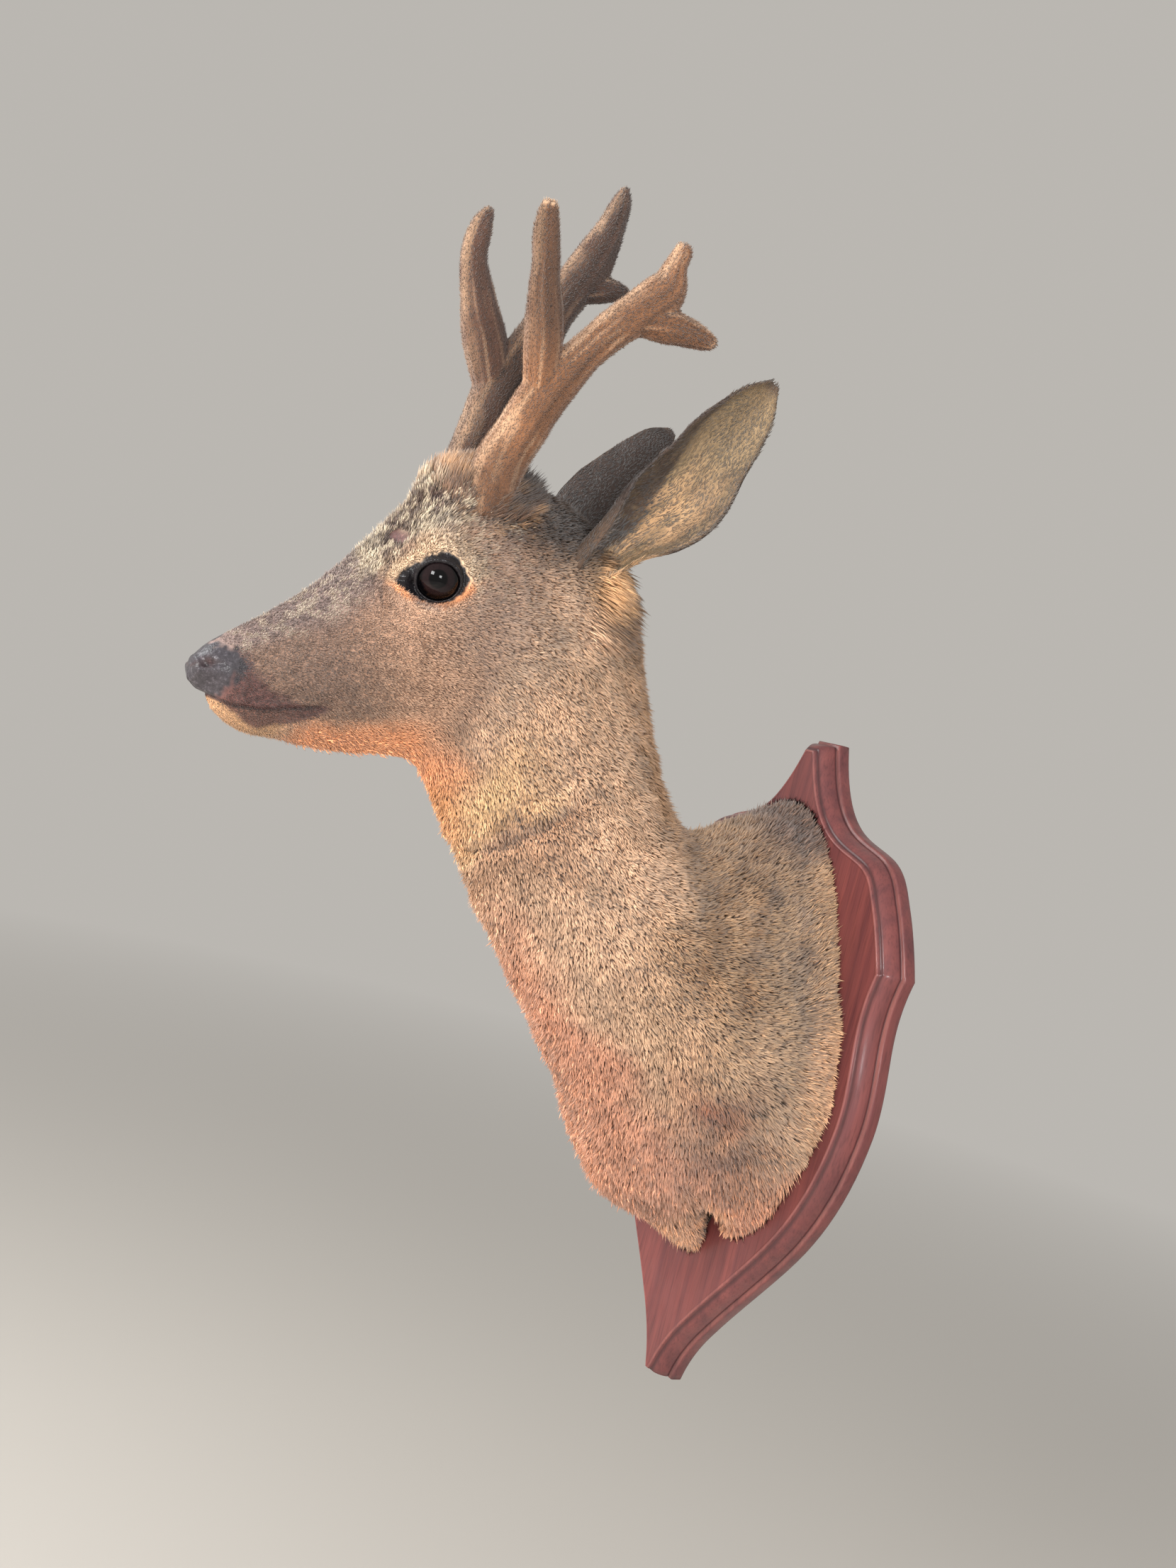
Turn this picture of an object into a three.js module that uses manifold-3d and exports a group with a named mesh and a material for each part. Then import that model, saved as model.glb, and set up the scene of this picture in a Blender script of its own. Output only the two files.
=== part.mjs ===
// Roe deer shoulder mount on a carved wooden shield, life size.
// Millimetres, +Z up. The deer looks along -Y and its left side is +X. The origin is the
// middle of the shield's flat back, which lies in the plane y = 0 against the wall.
// The body's outline is taken at the tips of the coat.

import * as THREE from 'three';
import { mergeVertices } from 'three/addons/utils/BufferGeometryUtils.js';
import Module from 'manifold-3d';

const wasm = await Module();
wasm.setup();

// ---- driving dimensions -------------------------------------------------------------------

const GAP = 0.3;
const SAME_POINT = 1e-4;
const AXIS_STEP = 0.1;
const NORMAL_STEP = 0.01;

// The shield: half outline from its blunt top to its blunt foot, then the moulded edge as
// [how far in from the outline, how far back from the front face].
const SHIELD_THICKNESS = 22.7;
const SHIELD_TOP = 209;
const SHIELD_FOOT = -215;
const SHIELD_START = [11, SHIELD_TOP];
const SHIELD_CURVES = [
  [[17, 190], [27, 172], [40, 163]],
  [[52, 154], [68, 153], [80, 148]],
  [[93, 142], [97, 133], [104, 122]],
  [[111, 111], [118, 96], [123, 83]],
  [[118, 66], [118, 52], [120, 37]],
  [[122, 22], [125, 6], [123, -12]],
  [[118, -50], [105, -80], [82, -110]],
  [[66, -131], [46, -154], [32, -173]],
  [[22, -186], [14, -199], [10, SHIELD_FOOT]],
];
const SHIELD_STEPS = 5;
const SHIELD_TOP_INSET = 0.9;
const SHIELD_FOOT_INSET = 0.4;
const MOULDING = [
  [9.6, 0], [8.4, 0.5], [7.4, 1.9], [6.0, 3.2], [3.4, 7.0], [2.0, 11.6], [1.9, 13.2], [0, 14.2],
];

// The body: sections across the spine from nose to shield. Each has its highest and lowest
// point as [y, z], and its half widths at the top, a quarter down, halfway, three quarters
// down and at the bottom.
const SECTIONS = [
  { at: 'nose tip', top: [-424, 165], low: [-423, 151], wide: [8, 11, 12, 10, 7] },
  { at: 'nostrils', top: [-418, 173], low: [-415, 145], wide: [12, 15, 15, 12, 8] },
  { at: 'lip', top: [-407, 183], low: [-406, 137], wide: [13, 17, 18, 16, 12] },
  { at: 'chin', top: [-391, 197], low: [-391, 131], wide: [14, 18, 20, 18, 14] },
  { at: 'mid muzzle', top: [-373, 215], low: [-372, 131], wide: [15, 20, 23, 21, 14] },
  { at: 'mouth corner', top: [-356, 237], low: [-350, 131], wide: [19, 28, 28, 24, 14] },
  { at: 'tear duct', top: [-343, 254], low: [-328, 133], wide: [26, 43, 36, 27, 14] },
  { at: 'eye', top: [-331, 272], low: [-310, 136], wide: [33, 54, 45, 32, 16] },
  { at: 'forehead', top: [-316, 290], low: [-296, 137], wide: [35, 50, 48, 36, 20] },
  { at: 'pedicle', top: [-290, 301], low: [-287, 134], wide: [36, 45, 48, 40, 26] },
  { at: 'crown', top: [-248, 302], low: [-283, 130], wide: [36, 42, 47, 42, 32] },
  { at: 'ear base', top: [-206, 285], low: [-276, 121], wide: [36, 43, 46, 44, 36] },
  { at: 'nape', top: [-178, 254], low: [-264, 106], wide: [37, 43, 46, 45, 38] },
  { at: 'throat', top: [-161, 220], low: [-246, 84], wide: [39, 46, 49, 47, 40] },
  { at: 'upper neck', top: [-145, 186], low: [-224, 57], wide: [43, 52, 55, 52, 43] },
  { at: 'mid neck', top: [-128, 156], low: [-197, 26], wide: [48, 60, 64, 60, 47] },
  { at: 'withers', top: [-106, 135], low: [-167, -8], wide: [54, 70, 76, 70, 52] },
  { at: 'shoulder', top: [-85, 137], low: [-135, -45], wide: [60, 77, 88, 82, 58] },
  { at: 'breast', top: [-64, 148], low: [-106, -86], wide: [66, 81, 96, 92, 66] },
  { at: 'cape', top: [-43, 158], low: [-74, -110], wide: [72, 83, 102, 98, 78] },
  { at: 'cape edge', top: [-23, 166], low: [-23, -135], wide: [76, 84, 103, 101, 87] },
];
const BODY_SIDES = 36;
const RINGS_PER_SECTION = 2;
const JAW_END = 5;
const HEAD_ROOM = [5, 14];
const BODY_LENGTHS = [
  ['nose_pad', 0, 1.5],
  ['muzzle', 1.5, 5],
  ['head', 5, 11],
  ['neck_upper', 11, 14],
  ['neck_lower', 14, 16],
  ['chest', 16, 20],
];

// Swellings and hollows of the body, on both sides: [x, y, z], reach and height.
const SWELLINGS = [
  { at: 'pedicle', centre: [21, -300, 296], reach: 17, height: 8 },
  { at: 'forelock', centre: [13, -321, 292], reach: 12, height: 9 },
  { at: 'brow', centre: [42, -331, 252], reach: 12, height: 3 },
  { at: 'eye socket', centre: [46, -325, 235], reach: 12, height: -7 },
  { at: 'ear base', centre: [40, -222, 262], reach: 20, height: 7 },
  { at: 'cheek', centre: [46, -292, 190], reach: 30, height: 2 },
];

// The mouth line as [y, z], from the front of the lips back to the corner and the jaw's end.
const MOUTH_LINE = [
  [-440, 152], [-421, 147], [-404, 144], [-388, 145], [-370, 150], [-360, 153], [-340, 153],
];
const JAW_FLOOR = 100;
const JAW_REACH = 60;

const EYE_RADIUS = 13;
const EYE_CENTRE = [33.5, -318, 235.5];
const EYE_SEGMENTS = [18, 12];

// The ears: middle of the opening, radius of the cup and half its angle in radians, base to
// tip. The left ear stands up and the right one lies further back.
const EARS = {
  left: [
    [36, -232, 258, 13, 2.5],
    [43, -217, 284, 17, 1.95],
    [48, -204, 304, 27, 1.4],
    [52, -191, 323, 31, 1.2],
    [55, -183, 345, 28.5, 1.1],
    [58, -174, 364, 23.5, 1.05],
    [60, -167, 379, 17, 1.0],
    [61, -162, 391, 6, 0.9],
  ],
  right: [
    [-36, -232, 258, 13, 2.5],
    [-43, -215, 279, 17, 1.95],
    [-48, -199, 297, 26, 1.4],
    [-52, -184, 313, 30, 1.2],
    [-55, -172, 331, 27, 1.1],
    [-58, -161, 348, 22, 1.05],
    [-60, -152, 362, 16, 1.0],
    [-61, -145, 372, 6, 0.9],
  ],
};
const EAR_OPENS = [1, 0.08, 0];
const EAR_WALL = 3;
const EAR_WALL_LIMIT = 0.45;
const EAR_INNER_ARC = 0.96;
const EAR_ARC_STEPS = 7;
const EAR_RINGS = 13;

// The antlers in velvet: centre line, half depth fore and aft, half thickness across.
const ANTLER_SIDES = 12;
const ANTLER_RINGS_PER_ROW = 2;
const ANTLERS = {
  left: {
    trunk: [
      [19, -294, 276, 16.5, 15],
      [22, -296, 300, 16.5, 14.5],
      [26, -289, 326, 16, 14],
      [30, -281, 350, 15.5, 13.5],
      [33, -266, 376, 12, 11.5],
      [35, -249, 399, 13, 11.5],
      [37, -231, 420, 14, 12],
      [38, -229, 435, 9, 8.5],
      [38, -226, 446.5, 7, 6.5],
    ],
    frontTine: [
      [31, -288, 350, 10.5, 10.5],
      [33, -294, 376, 13, 11.5],
      [35, -301.5, 400, 10.5, 9.5],
      [36, -306, 418, 9.5, 8.5],
      [37, -310, 432, 8.5, 7.5],
      [37, -311, 439, 7, 6.5],
    ],
    backTine: [
      [35, -243, 400, 9, 9],
      [38, -226, 404, 12, 10],
      [39, -213, 405, 10.5, 9.5],
      [40, -202, 404.5, 8.8, 8],
      [41, -195, 404, 6.5, 6],
    ],
  },
  right: {
    trunk: [
      [-19, -294, 276, 16.5, 15],
      [-23, -292, 300, 16.5, 14.5],
      [-27, -287, 326, 16.5, 14],
      [-31, -281, 350, 17.5, 13.5],
      [-34, -267, 381, 16, 12.5],
      [-36, -256, 411, 14, 11.5],
      [-38, -242, 438, 15, 11],
      [-39, -234.5, 462, 11.5, 9.5],
      [-40, -231, 482, 9, 7.5],
      [-40, -230, 491, 5, 4],
    ],
    frontTine: [
      [-31, -286, 350, 11, 11],
      [-34, -296, 376, 15.5, 12],
      [-36, -306, 398, 12.5, 10.5],
      [-38, -313, 418, 10, 9],
      [-39, -313, 436, 8.5, 7.5],
      [-39, -311, 447, 5, 4.5],
    ],
    backTine: [
      [-37, -243, 424, 10, 9],
      [-39, -228, 431, 10, 8.5],
      [-40, -217, 434, 7.5, 7],
      [-40, -211, 435, 5, 4.5],
    ],
  },
};
const FIRST_FORK = 3.4;
const SECOND_FORK = 5.4;

const COLOURS = {
  shield: [0x5f2a22, 0.35],
  coat: [0x9b8064, 0.95],
  face: [0x93795f, 0.92],
  nose: [0x2a2726, 0.45],
  eye: [0x0c0a09, 0.08],
  ear: [0x77644f, 0.92],
  velvet: [0xa4703f, 0.9],
};

// ---- rows of numbers along a line ----------------------------------------------------------

// A smooth row between the given ones, at place s counted in rows (Catmull-Rom).
function rowAt(rows, s) {
  const last = rows.length - 1;
  const i = Math.min(Math.max(Math.floor(s), 0), last - 1);
  const t = s - i;
  const pick = (k, c) => {
    if (k < 0) return 2 * rows[0][c] - rows[1][c];
    if (k > last) return 2 * rows[last][c] - rows[last - 1][c];
    return rows[k][c];
  };
  return rows[0].map((_, c) => {
    const [a, b, d, e] = [pick(i - 1, c), pick(i, c), pick(i + 1, c), pick(i + 2, c)];
    const bend = 2 * a - 5 * b + 4 * d - e;
    const twist = 3 * b - a - 3 * d + e;
    return b + (t * (d - a) + t ** 2 * bend + t ** 3 * twist) / 2;
  });
}

// The way that a line of rows starting with x, y, z runs at place s.
function lineAxis(rows, s) {
  const last = rows.length - 1;
  const ahead = rowAt(rows, Math.min(s + AXIS_STEP, last));
  const behind = rowAt(rows, Math.max(s - AXIS_STEP, 0));
  return new THREE.Vector3(ahead[0] - behind[0], ahead[1] - behind[1], ahead[2] - behind[2]).normalize();
}

// Places from s0 to s1 with about the given number of steps per row.
function places(s0, s1, perRow) {
  const steps = Math.max(2, Math.round((s1 - s0) * perRow));
  return Array.from({ length: steps + 1 }, (_, i) => s0 + (s1 - s0) * i / steps);
}

// ---- closed solids from rings --------------------------------------------------------------

// A closed skin over rings of equal length, with a fan over each end.
function loft(rings) {
  const sides = rings[0].length;
  const positions = [];
  const add = (p) => positions.push(p.x, p.y, p.z);
  const centre = (ring) => ring.reduce((sum, p) => sum.add(p), new THREE.Vector3()).divideScalar(sides);
  rings.forEach((ring) => ring.forEach(add));
  add(centre(rings[0]));
  add(centre(rings[rings.length - 1]));
  const first = rings.length * sides;
  const triangles = [];
  for (let i = 0; i < sides; i++) {
    const j = (i + 1) % sides;
    for (let k = 0; k < rings.length - 1; k++) {
      const [a, b] = [k * sides + i, k * sides + j];
      triangles.push(a, b, a + sides, b, b + sides, a + sides);
    }
    const end = (rings.length - 1) * sides;
    triangles.push(first, j, i, first + 1, end + i, end + j);
  }
  const geometry = new THREE.BufferGeometry();
  geometry.setAttribute('position', new THREE.Float32BufferAttribute(positions, 3));
  geometry.setIndex(triangles);
  return facingOut(geometry);
}

// Turns the triangles round if the skin encloses a negative volume.
function facingOut(geometry) {
  const p = geometry.attributes.position;
  const index = geometry.index.array;
  const [a, b, c] = [new THREE.Vector3(), new THREE.Vector3(), new THREE.Vector3()];
  let volume = 0;
  for (let i = 0; i < index.length; i += 3) {
    a.fromBufferAttribute(p, index[i]);
    b.fromBufferAttribute(p, index[i + 1]);
    c.fromBufferAttribute(p, index[i + 2]);
    volume += a.dot(b.cross(c));
  }
  if (volume < 0) {
    for (let i = 0; i < index.length; i += 3) {
      [index[i], index[i + 1]] = [index[i + 1], index[i]];
    }
  }
  return geometry;
}

function solid(geometry) {
  const bare = geometry.clone();
  bare.deleteAttribute('normal');
  bare.deleteAttribute('uv');
  const merged = mergeVertices(bare, SAME_POINT);
  return new wasm.Manifold(new wasm.Mesh({
    numProp: 3,
    vertProperties: new Float32Array(merged.attributes.position.array),
    triVerts: new Uint32Array(merged.index.array),
  }));
}

function geometryOf(manifold) {
  const mesh = manifold.getMesh();
  const geometry = new THREE.BufferGeometry();
  geometry.setAttribute('position', new THREE.Float32BufferAttribute(mesh.vertProperties, 3));
  geometry.setIndex(Array.from(mesh.triVerts));
  return geometry;
}

// ---- the body's surface --------------------------------------------------------------------

const bodyRows = SECTIONS.map((section) => [...section.top, ...section.low, ...section.wide]);

// Point on the plain body: s counts sections, turn is the angle from the top towards +X.
// The height share q = (1 - cos turn) / 2 runs from top to bottom, and the half width there
// times sin turn gives x.
function plainBody(s, turn) {
  const row = rowAt(bodyRows, s);
  const q = (1 - Math.cos(turn)) / 2;
  const [width] = rowAt(row.slice(4).map((w) => [w]), q * 4);
  return new THREE.Vector3(
    Math.sin(turn) * width,
    row[0] + q * (row[2] - row[0]),
    row[1] + q * (row[3] - row[1]),
  );
}

// Body point with its swellings, moved out along the surface's normal by grow as well.
function bodyPoint(s, turn, grow) {
  const point = plainBody(s, turn);
  const along = plainBody(s + NORMAL_STEP, turn).sub(plainBody(s - NORMAL_STEP, turn));
  const round = plainBody(s, turn + NORMAL_STEP).sub(plainBody(s, turn - NORMAL_STEP));
  const out = round.cross(along).normalize();
  let height = grow;
  for (const swelling of SWELLINGS) {
    const [x, y, z] = swelling.centre;
    const away = point.distanceToSquared(new THREE.Vector3(Math.sign(point.x) * x, y, z));
    height += swelling.height * Math.exp(-away / swelling.reach ** 2);
  }
  return point.addScaledVector(out, height);
}

function bodyRing(s, grow) {
  return Array.from({ length: BODY_SIDES }, (_, i) => bodyPoint(s, 2 * Math.PI * i / BODY_SIDES, grow));
}

// The direction that a section faces, towards the shield.
function sectionNormal(s) {
  const [topY, topZ, lowY, lowZ] = rowAt(bodyRows, s);
  return new THREE.Vector3(0, topZ - lowZ, lowY - topY).normalize();
}

// A length of the body. All but the first start a gap behind the section they share.
function bodyLength(s0, s1, grow = 0) {
  const rings = places(s0, s1, RINGS_PER_SECTION).map((s) => bodyRing(s, grow));
  if (s0 > 0 && grow === 0) {
    rings[0].forEach((p) => p.addScaledVector(sectionNormal(s0), GAP));
  }
  return loft(rings);
}

// ---- the mouth, the eyes and the ears ------------------------------------------------------

// Everything under the mouth line, raised by lift.
function underMouth(lift) {
  const shape = new THREE.Shape();
  shape.moveTo(MOUTH_LINE[0][0], JAW_FLOOR);
  MOUTH_LINE.forEach(([y, z]) => shape.lineTo(y, z + lift));
  shape.lineTo(MOUTH_LINE[MOUTH_LINE.length - 1][0], JAW_FLOOR);
  const geometry = new THREE.ExtrudeGeometry(shape, { depth: 2 * JAW_REACH, bevelEnabled: false });
  geometry.translate(0, 0, -JAW_REACH);
  geometry.applyMatrix4(new THREE.Matrix4().set(0, 0, 1, 0, 1, 0, 0, 0, 0, 1, 0, 0, 0, 0, 0, 1));
  return solid(geometry);
}

function eyeball(side, grow) {
  const geometry = new THREE.SphereGeometry(EYE_RADIUS + grow, ...EYE_SEGMENTS);
  geometry.translate(side * EYE_CENTRE[0], EYE_CENTRE[1], EYE_CENTRE[2]);
  return geometry;
}

// One ear: a cup whose section is an arc of radius r and half angle a about the middle of
// its opening, which faces away from the head, with a wall that thins to the tip.
function ear(rows) {
  const last = rows.length - 1;
  const side = Math.sign(rows[0][0]);
  const rings = places(0, last, EAR_RINGS / last).map((s) => {
    const [x, y, z, radius, half] = rowAt(rows, s);
    const axis = lineAxis(rows, s);
    const opens = new THREE.Vector3(side * EAR_OPENS[0], EAR_OPENS[1], EAR_OPENS[2]);
    opens.addScaledVector(axis, -opens.dot(axis)).normalize();
    const across = axis.clone().cross(opens);
    const hub = new THREE.Vector3(x, y, z).addScaledVector(opens, radius * Math.cos(half));
    const wall = Math.min(EAR_WALL, radius * EAR_WALL_LIMIT);
    const arc = (r, turn) => hub.clone()
      .addScaledVector(opens, -r * Math.cos(turn))
      .addScaledVector(across, r * Math.sin(turn));
    const turns = Array.from({ length: EAR_ARC_STEPS + 1 }, (_, i) => half * (2 * i / EAR_ARC_STEPS - 1));
    const outer = turns.map((turn) => arc(radius, turn));
    const inner = turns.reverse().map((turn) => arc(radius - wall, turn * EAR_INNER_ARC));
    return [...outer, ...inner];
  });
  return loft(rings);
}

// ---- the antlers ---------------------------------------------------------------------------

// Ring of an antler at place s: an ellipse across the centre line, its long axis upright in
// the deer's length plane.
function antlerRing(rows, s, grow) {
  const [x, y, z, depth, thick] = rowAt(rows, s);
  const axis = lineAxis(rows, s);
  const fore = new THREE.Vector3(1, 0, 0).cross(axis).normalize();
  const across = axis.clone().cross(fore);
  return Array.from({ length: ANTLER_SIDES }, (_, i) => {
    const turn = 2 * Math.PI * i / ANTLER_SIDES;
    return new THREE.Vector3(x, y, z)
      .addScaledVector(fore, (depth + grow) * Math.cos(turn))
      .addScaledVector(across, (thick + grow) * Math.sin(turn));
  });
}

function antlerLength(rows, s0, s1, grow = 0) {
  const rings = places(s0, s1, ANTLER_RINGS_PER_ROW).map((s) => antlerRing(rows, s, grow));
  if (s0 > 0 && grow === 0) {
    rings[0].forEach((p) => p.addScaledVector(lineAxis(rows, s0), GAP));
  }
  return loft(rings);
}

// ---- the shield ----------------------------------------------------------------------------

// The half outline from top to foot as points [x, z].
function shieldSide() {
  const path = new THREE.Path();
  path.moveTo(...SHIELD_START);
  SHIELD_CURVES.forEach((curve) => path.bezierCurveTo(...curve.flat()));
  return path.getPoints(SHIELD_STEPS);
}

// The whole outline drawn in by inset. The blunt ends come in less than the sides do.
function shieldRing(inset, y) {
  const side = shieldSide();
  const half = side.map((p, i) => {
    const before = side[Math.max(i - 1, 0)];
    const after = side[Math.min(i + 1, side.length - 1)];
    const run = after.clone().sub(before).normalize();
    return new THREE.Vector3(p.x + run.y * inset, y, p.y - run.x * inset);
  });
  half[0].z = SHIELD_TOP - SHIELD_TOP_INSET * inset;
  half[half.length - 1].z = SHIELD_FOOT + SHIELD_FOOT_INSET * inset;
  const mirrored = half.map((p) => new THREE.Vector3(-p.x, p.y, p.z)).reverse();
  return [...half, ...mirrored];
}

function shield() {
  const rings = MOULDING.map(([inset, back]) => shieldRing(inset, back - SHIELD_THICKNESS));
  rings.push(shieldRing(0, 0));
  return loft(rings);
}

// ---- the scene -----------------------------------------------------------------------------

const group = new THREE.Group();

function place(name, geometry, finish) {
  const [color, roughness] = COLOURS[finish];
  const mesh = new THREE.Mesh(geometry, new THREE.MeshStandardMaterial({ color, roughness, metalness: 0 }));
  mesh.name = name;
  group.add(mesh);
}

place('board', shield(), 'shield');

const lengths = Object.fromEntries(BODY_LENGTHS.map(([name, s0, s1]) => [name, solid(bodyLength(s0, s1))]));
const upperFace = underMouth(GAP / 2);
const lowerFace = underMouth(-GAP / 2);
const lowerJaw = solid(bodyLength(0, JAW_END)).intersect(lowerFace);
lengths.nose_pad = lengths.nose_pad.subtract(upperFace);
lengths.muzzle = lengths.muzzle.subtract(upperFace);
for (const side of [1, -1]) {
  lengths.head = lengths.head.subtract(solid(eyeball(side, GAP)));
}
place('nose_pad', geometryOf(lengths.nose_pad), 'nose');
place('muzzle', geometryOf(lengths.muzzle), 'face');
place('lower_jaw', geometryOf(lowerJaw), 'face');
place('head', geometryOf(lengths.head), 'face');
place('neck_upper', geometryOf(lengths.neck_upper), 'coat');
place('neck_lower', geometryOf(lengths.neck_lower), 'coat');
place('chest', geometryOf(lengths.chest), 'coat');

const headRoom = solid(bodyLength(...HEAD_ROOM, GAP));
for (const [name, side] of [['left', 1], ['right', -1]]) {
  place(`eye_${name}`, eyeball(side, 0), 'eye');
  place(`ear_${name}`, geometryOf(solid(ear(EARS[name])).subtract(headRoom)), 'ear');

  const { trunk, frontTine, backTine } = ANTLERS[name];
  const end = trunk.length - 1;
  const forks = [0, FIRST_FORK, SECOND_FORK, end];
  const trunkRoom = [0, 1, 2]
    .map((i) => solid(antlerLength(trunk, forks[i], forks[i + 1], GAP)))
    .reduce((joined, length) => joined.add(length));
  const beam = solid(antlerLength(trunk, 0, FIRST_FORK)).subtract(headRoom);
  const front = solid(antlerLength(frontTine, 0, frontTine.length - 1)).subtract(trunkRoom);
  const back = solid(antlerLength(backTine, 0, backTine.length - 1)).subtract(trunkRoom);
  place(`antler_${name}_beam`, geometryOf(beam), 'velvet');
  place(`antler_${name}_upper_beam`, antlerLength(trunk, FIRST_FORK, SECOND_FORK), 'velvet');
  place(`antler_${name}_top_tine`, antlerLength(trunk, SECOND_FORK, end), 'velvet');
  place(`antler_${name}_front_tine`, geometryOf(front), 'velvet');
  place(`antler_${name}_back_tine`, geometryOf(back), 'velvet');
}

export default group;
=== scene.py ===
"""Roe deer shoulder mount: one skin with its coat in tufts, glass eyes, antlers in velvet, a shield."""

import itertools

import bpy
import numpy as np
from bpy.props import FloatProperty, FloatVectorProperty, IntProperty, PointerProperty
from mathutils import Matrix


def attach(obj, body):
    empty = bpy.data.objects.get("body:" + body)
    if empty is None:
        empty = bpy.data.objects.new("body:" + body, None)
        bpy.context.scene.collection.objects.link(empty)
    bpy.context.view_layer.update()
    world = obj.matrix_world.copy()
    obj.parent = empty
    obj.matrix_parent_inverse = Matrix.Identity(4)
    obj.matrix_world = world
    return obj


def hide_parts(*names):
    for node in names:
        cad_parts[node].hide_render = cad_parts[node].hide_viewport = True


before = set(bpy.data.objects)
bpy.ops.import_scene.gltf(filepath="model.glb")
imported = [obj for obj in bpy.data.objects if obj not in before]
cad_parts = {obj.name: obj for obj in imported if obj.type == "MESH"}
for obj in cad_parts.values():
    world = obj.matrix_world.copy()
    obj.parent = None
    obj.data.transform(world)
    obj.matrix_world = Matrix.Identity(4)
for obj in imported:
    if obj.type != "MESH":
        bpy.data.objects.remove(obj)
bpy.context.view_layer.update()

bl_info = {
    "name": "Roe deer shoulder mount",
    "version": (1, 0, 0),
    "blender": (4, 5, 0),
    "location": "3D View > Sidebar > Deer",
    "description": "Builds the skin, coat, eyes, antlers and shield of a roe deer shoulder mount",
    "category": "Add Mesh",
}

MM = 0.001
# Where the shield's face lies, in millimetres, and where the coat stops before it.
BOARD_FACE = -22.7
COAT_LIMIT = BOARD_FACE - 0.5
PIECE_TUFTS = 48000
FACE_PIECES = 2
# Where the random draws of the noise and of each coat start.
SEEDS = {
    "noise": 11, "body": 21, "long": 25, "face": 22, "left_ear": 23, "right_ear": 24,
    "left_velvet": 31, "right_velvet": 32,
}

# ---- the body, in millimetres: top y, z; low y, z; half widths from top to bottom -----------
SECTIONS = np.array([
    [-424, 165, -423, 151, 8, 11, 12, 10, 7],
    [-418, 173, -415, 145, 12, 15, 15, 12, 8],
    [-407, 183, -406, 137, 13, 17, 18, 16, 12],
    [-391, 197, -391, 131, 14, 18, 20, 18, 14],
    [-373, 215, -372, 131, 15, 20, 23, 21, 14],
    [-356, 237, -350, 131, 19, 28, 28, 24, 14],
    [-343, 254, -328, 133, 26, 43, 36, 27, 14],
    [-331, 272, -310, 136, 33, 54, 45, 32, 16],
    [-316, 290, -296, 137, 35, 50, 48, 36, 20],
    [-290, 301, -287, 134, 36, 45, 48, 40, 26],
    [-248, 302, -283, 130, 36, 42, 47, 42, 32],
    [-206, 285, -276, 121, 36, 43, 46, 44, 36],
    [-178, 254, -264, 106, 37, 43, 46, 45, 38],
    [-161, 220, -246, 84, 39, 46, 49, 47, 40],
    [-145, 186, -224, 57, 43, 52, 55, 52, 43],
    [-128, 156, -197, 26, 48, 60, 64, 60, 47],
    [-106, 135, -167, -8, 54, 70, 76, 70, 52],
    [-85, 137, -135, -45, 60, 77, 88, 82, 58],
    [-64, 148, -106, -86, 66, 81, 96, 92, 66],
    [-43, 158, -74, -110, 72, 83, 102, 98, 78],
    [-23, 166, -23, -135, 76, 84, 103, 101, 87],
], float)
LAST_SECTION = len(SECTIONS) - 1

# Swellings and hollows on both sides: centre, reach and height.
SWELLINGS = [
    ((21, -300, 296), 17, 8),
    ((13, -321, 292), 12, 9),
    ((42, -331, 252), 12, 3),
    ((46, -325, 235), 12, -7),
    ((40, -222, 262), 20, 7),
    ((46, -292, 190), 30, 2),
]
# How deep the skin lies under the tips of the coat, from nose to cape edge.
COAT_PLACES = [0, 1.6, 2.6, 5, 7, 8.6, 10, 12, 14, 16, 18, 19.3, 20]
COAT_DEPTHS = [0, 0.1, 0.8, 1.1, 1.3, 1.8, 2.6, 3.2, 3.6, 4.2, 4.6, 4.8, 4.4]
MOUTH_LINE = np.array([
    [-440, 152], [-421, 147], [-404, 144], [-388, 145], [-370, 150], [-358, 154.5],
], float)

NOSE_DOME = np.array([0, -2.2, -0.3])
NOSTRIL = np.array([11.2, -421.2, 162.5])
PEDICLE = np.array([21, -297, 297])
# Folds of the neck and the cape as y, z, and the lines of painted shade on the shoulder's folds as
# section and ten times q.
NECK_FOLD = np.array([
    [-262, 84], [-251, 95], [-237, 103], [-224, 117], [-212, 133], [-200, 145],
], float)
CAPE_FOLD = np.array([[-46, -96], [-58, -88], [-72, -76]], float)
SHOULDER_SHADE_LINES = (np.array([(18.0, 1.0), (16.7, 1.9), (16.2, 3.6), (16.6, 5.4)]),
                  np.array([(18.1, 1.9), (17.6, 2.5), (17.35, 3.4), (17.5, 4.4)]))
# The tear low on the left of the cape: its hole and its end at the edge.
HOLE = np.array([44, -38, -108])
TEAR_END = np.array([29, -23, -127])
# Points of the skin round each section.
SKIN_SIDES = 272
# The shear that draws the loose folds of the neck out aslant, and the size of their noise.
ASLANT = [[0.6, 0.3, 0], [0, 1, 0.5], [0, -0.4, 1]]
LOOSE_FOLD = 17

# ---- the eyes: front is towards the tear duct ----------------------------------------------
EYE_RADIUS = 13
EYE_CENTRE = np.array([33.5, -318, 235.5])
EYE_OUT = np.array([0.905, -0.41, -0.10])
EYE_OUT /= np.linalg.norm(EYE_OUT)
EYE_FRONT = np.array([-0.495, -0.832, -0.252])
EYE_FRONT -= EYE_OUT * (EYE_FRONT @ EYE_OUT)
EYE_FRONT /= np.linalg.norm(EYE_FRONT)
EYE_UP = np.cross(EYE_FRONT, EYE_OUT)
EYE_OPENING = (12.4, 11.2)
OPENING_DROP = 1.3
EYE_SIDES = 64
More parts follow.
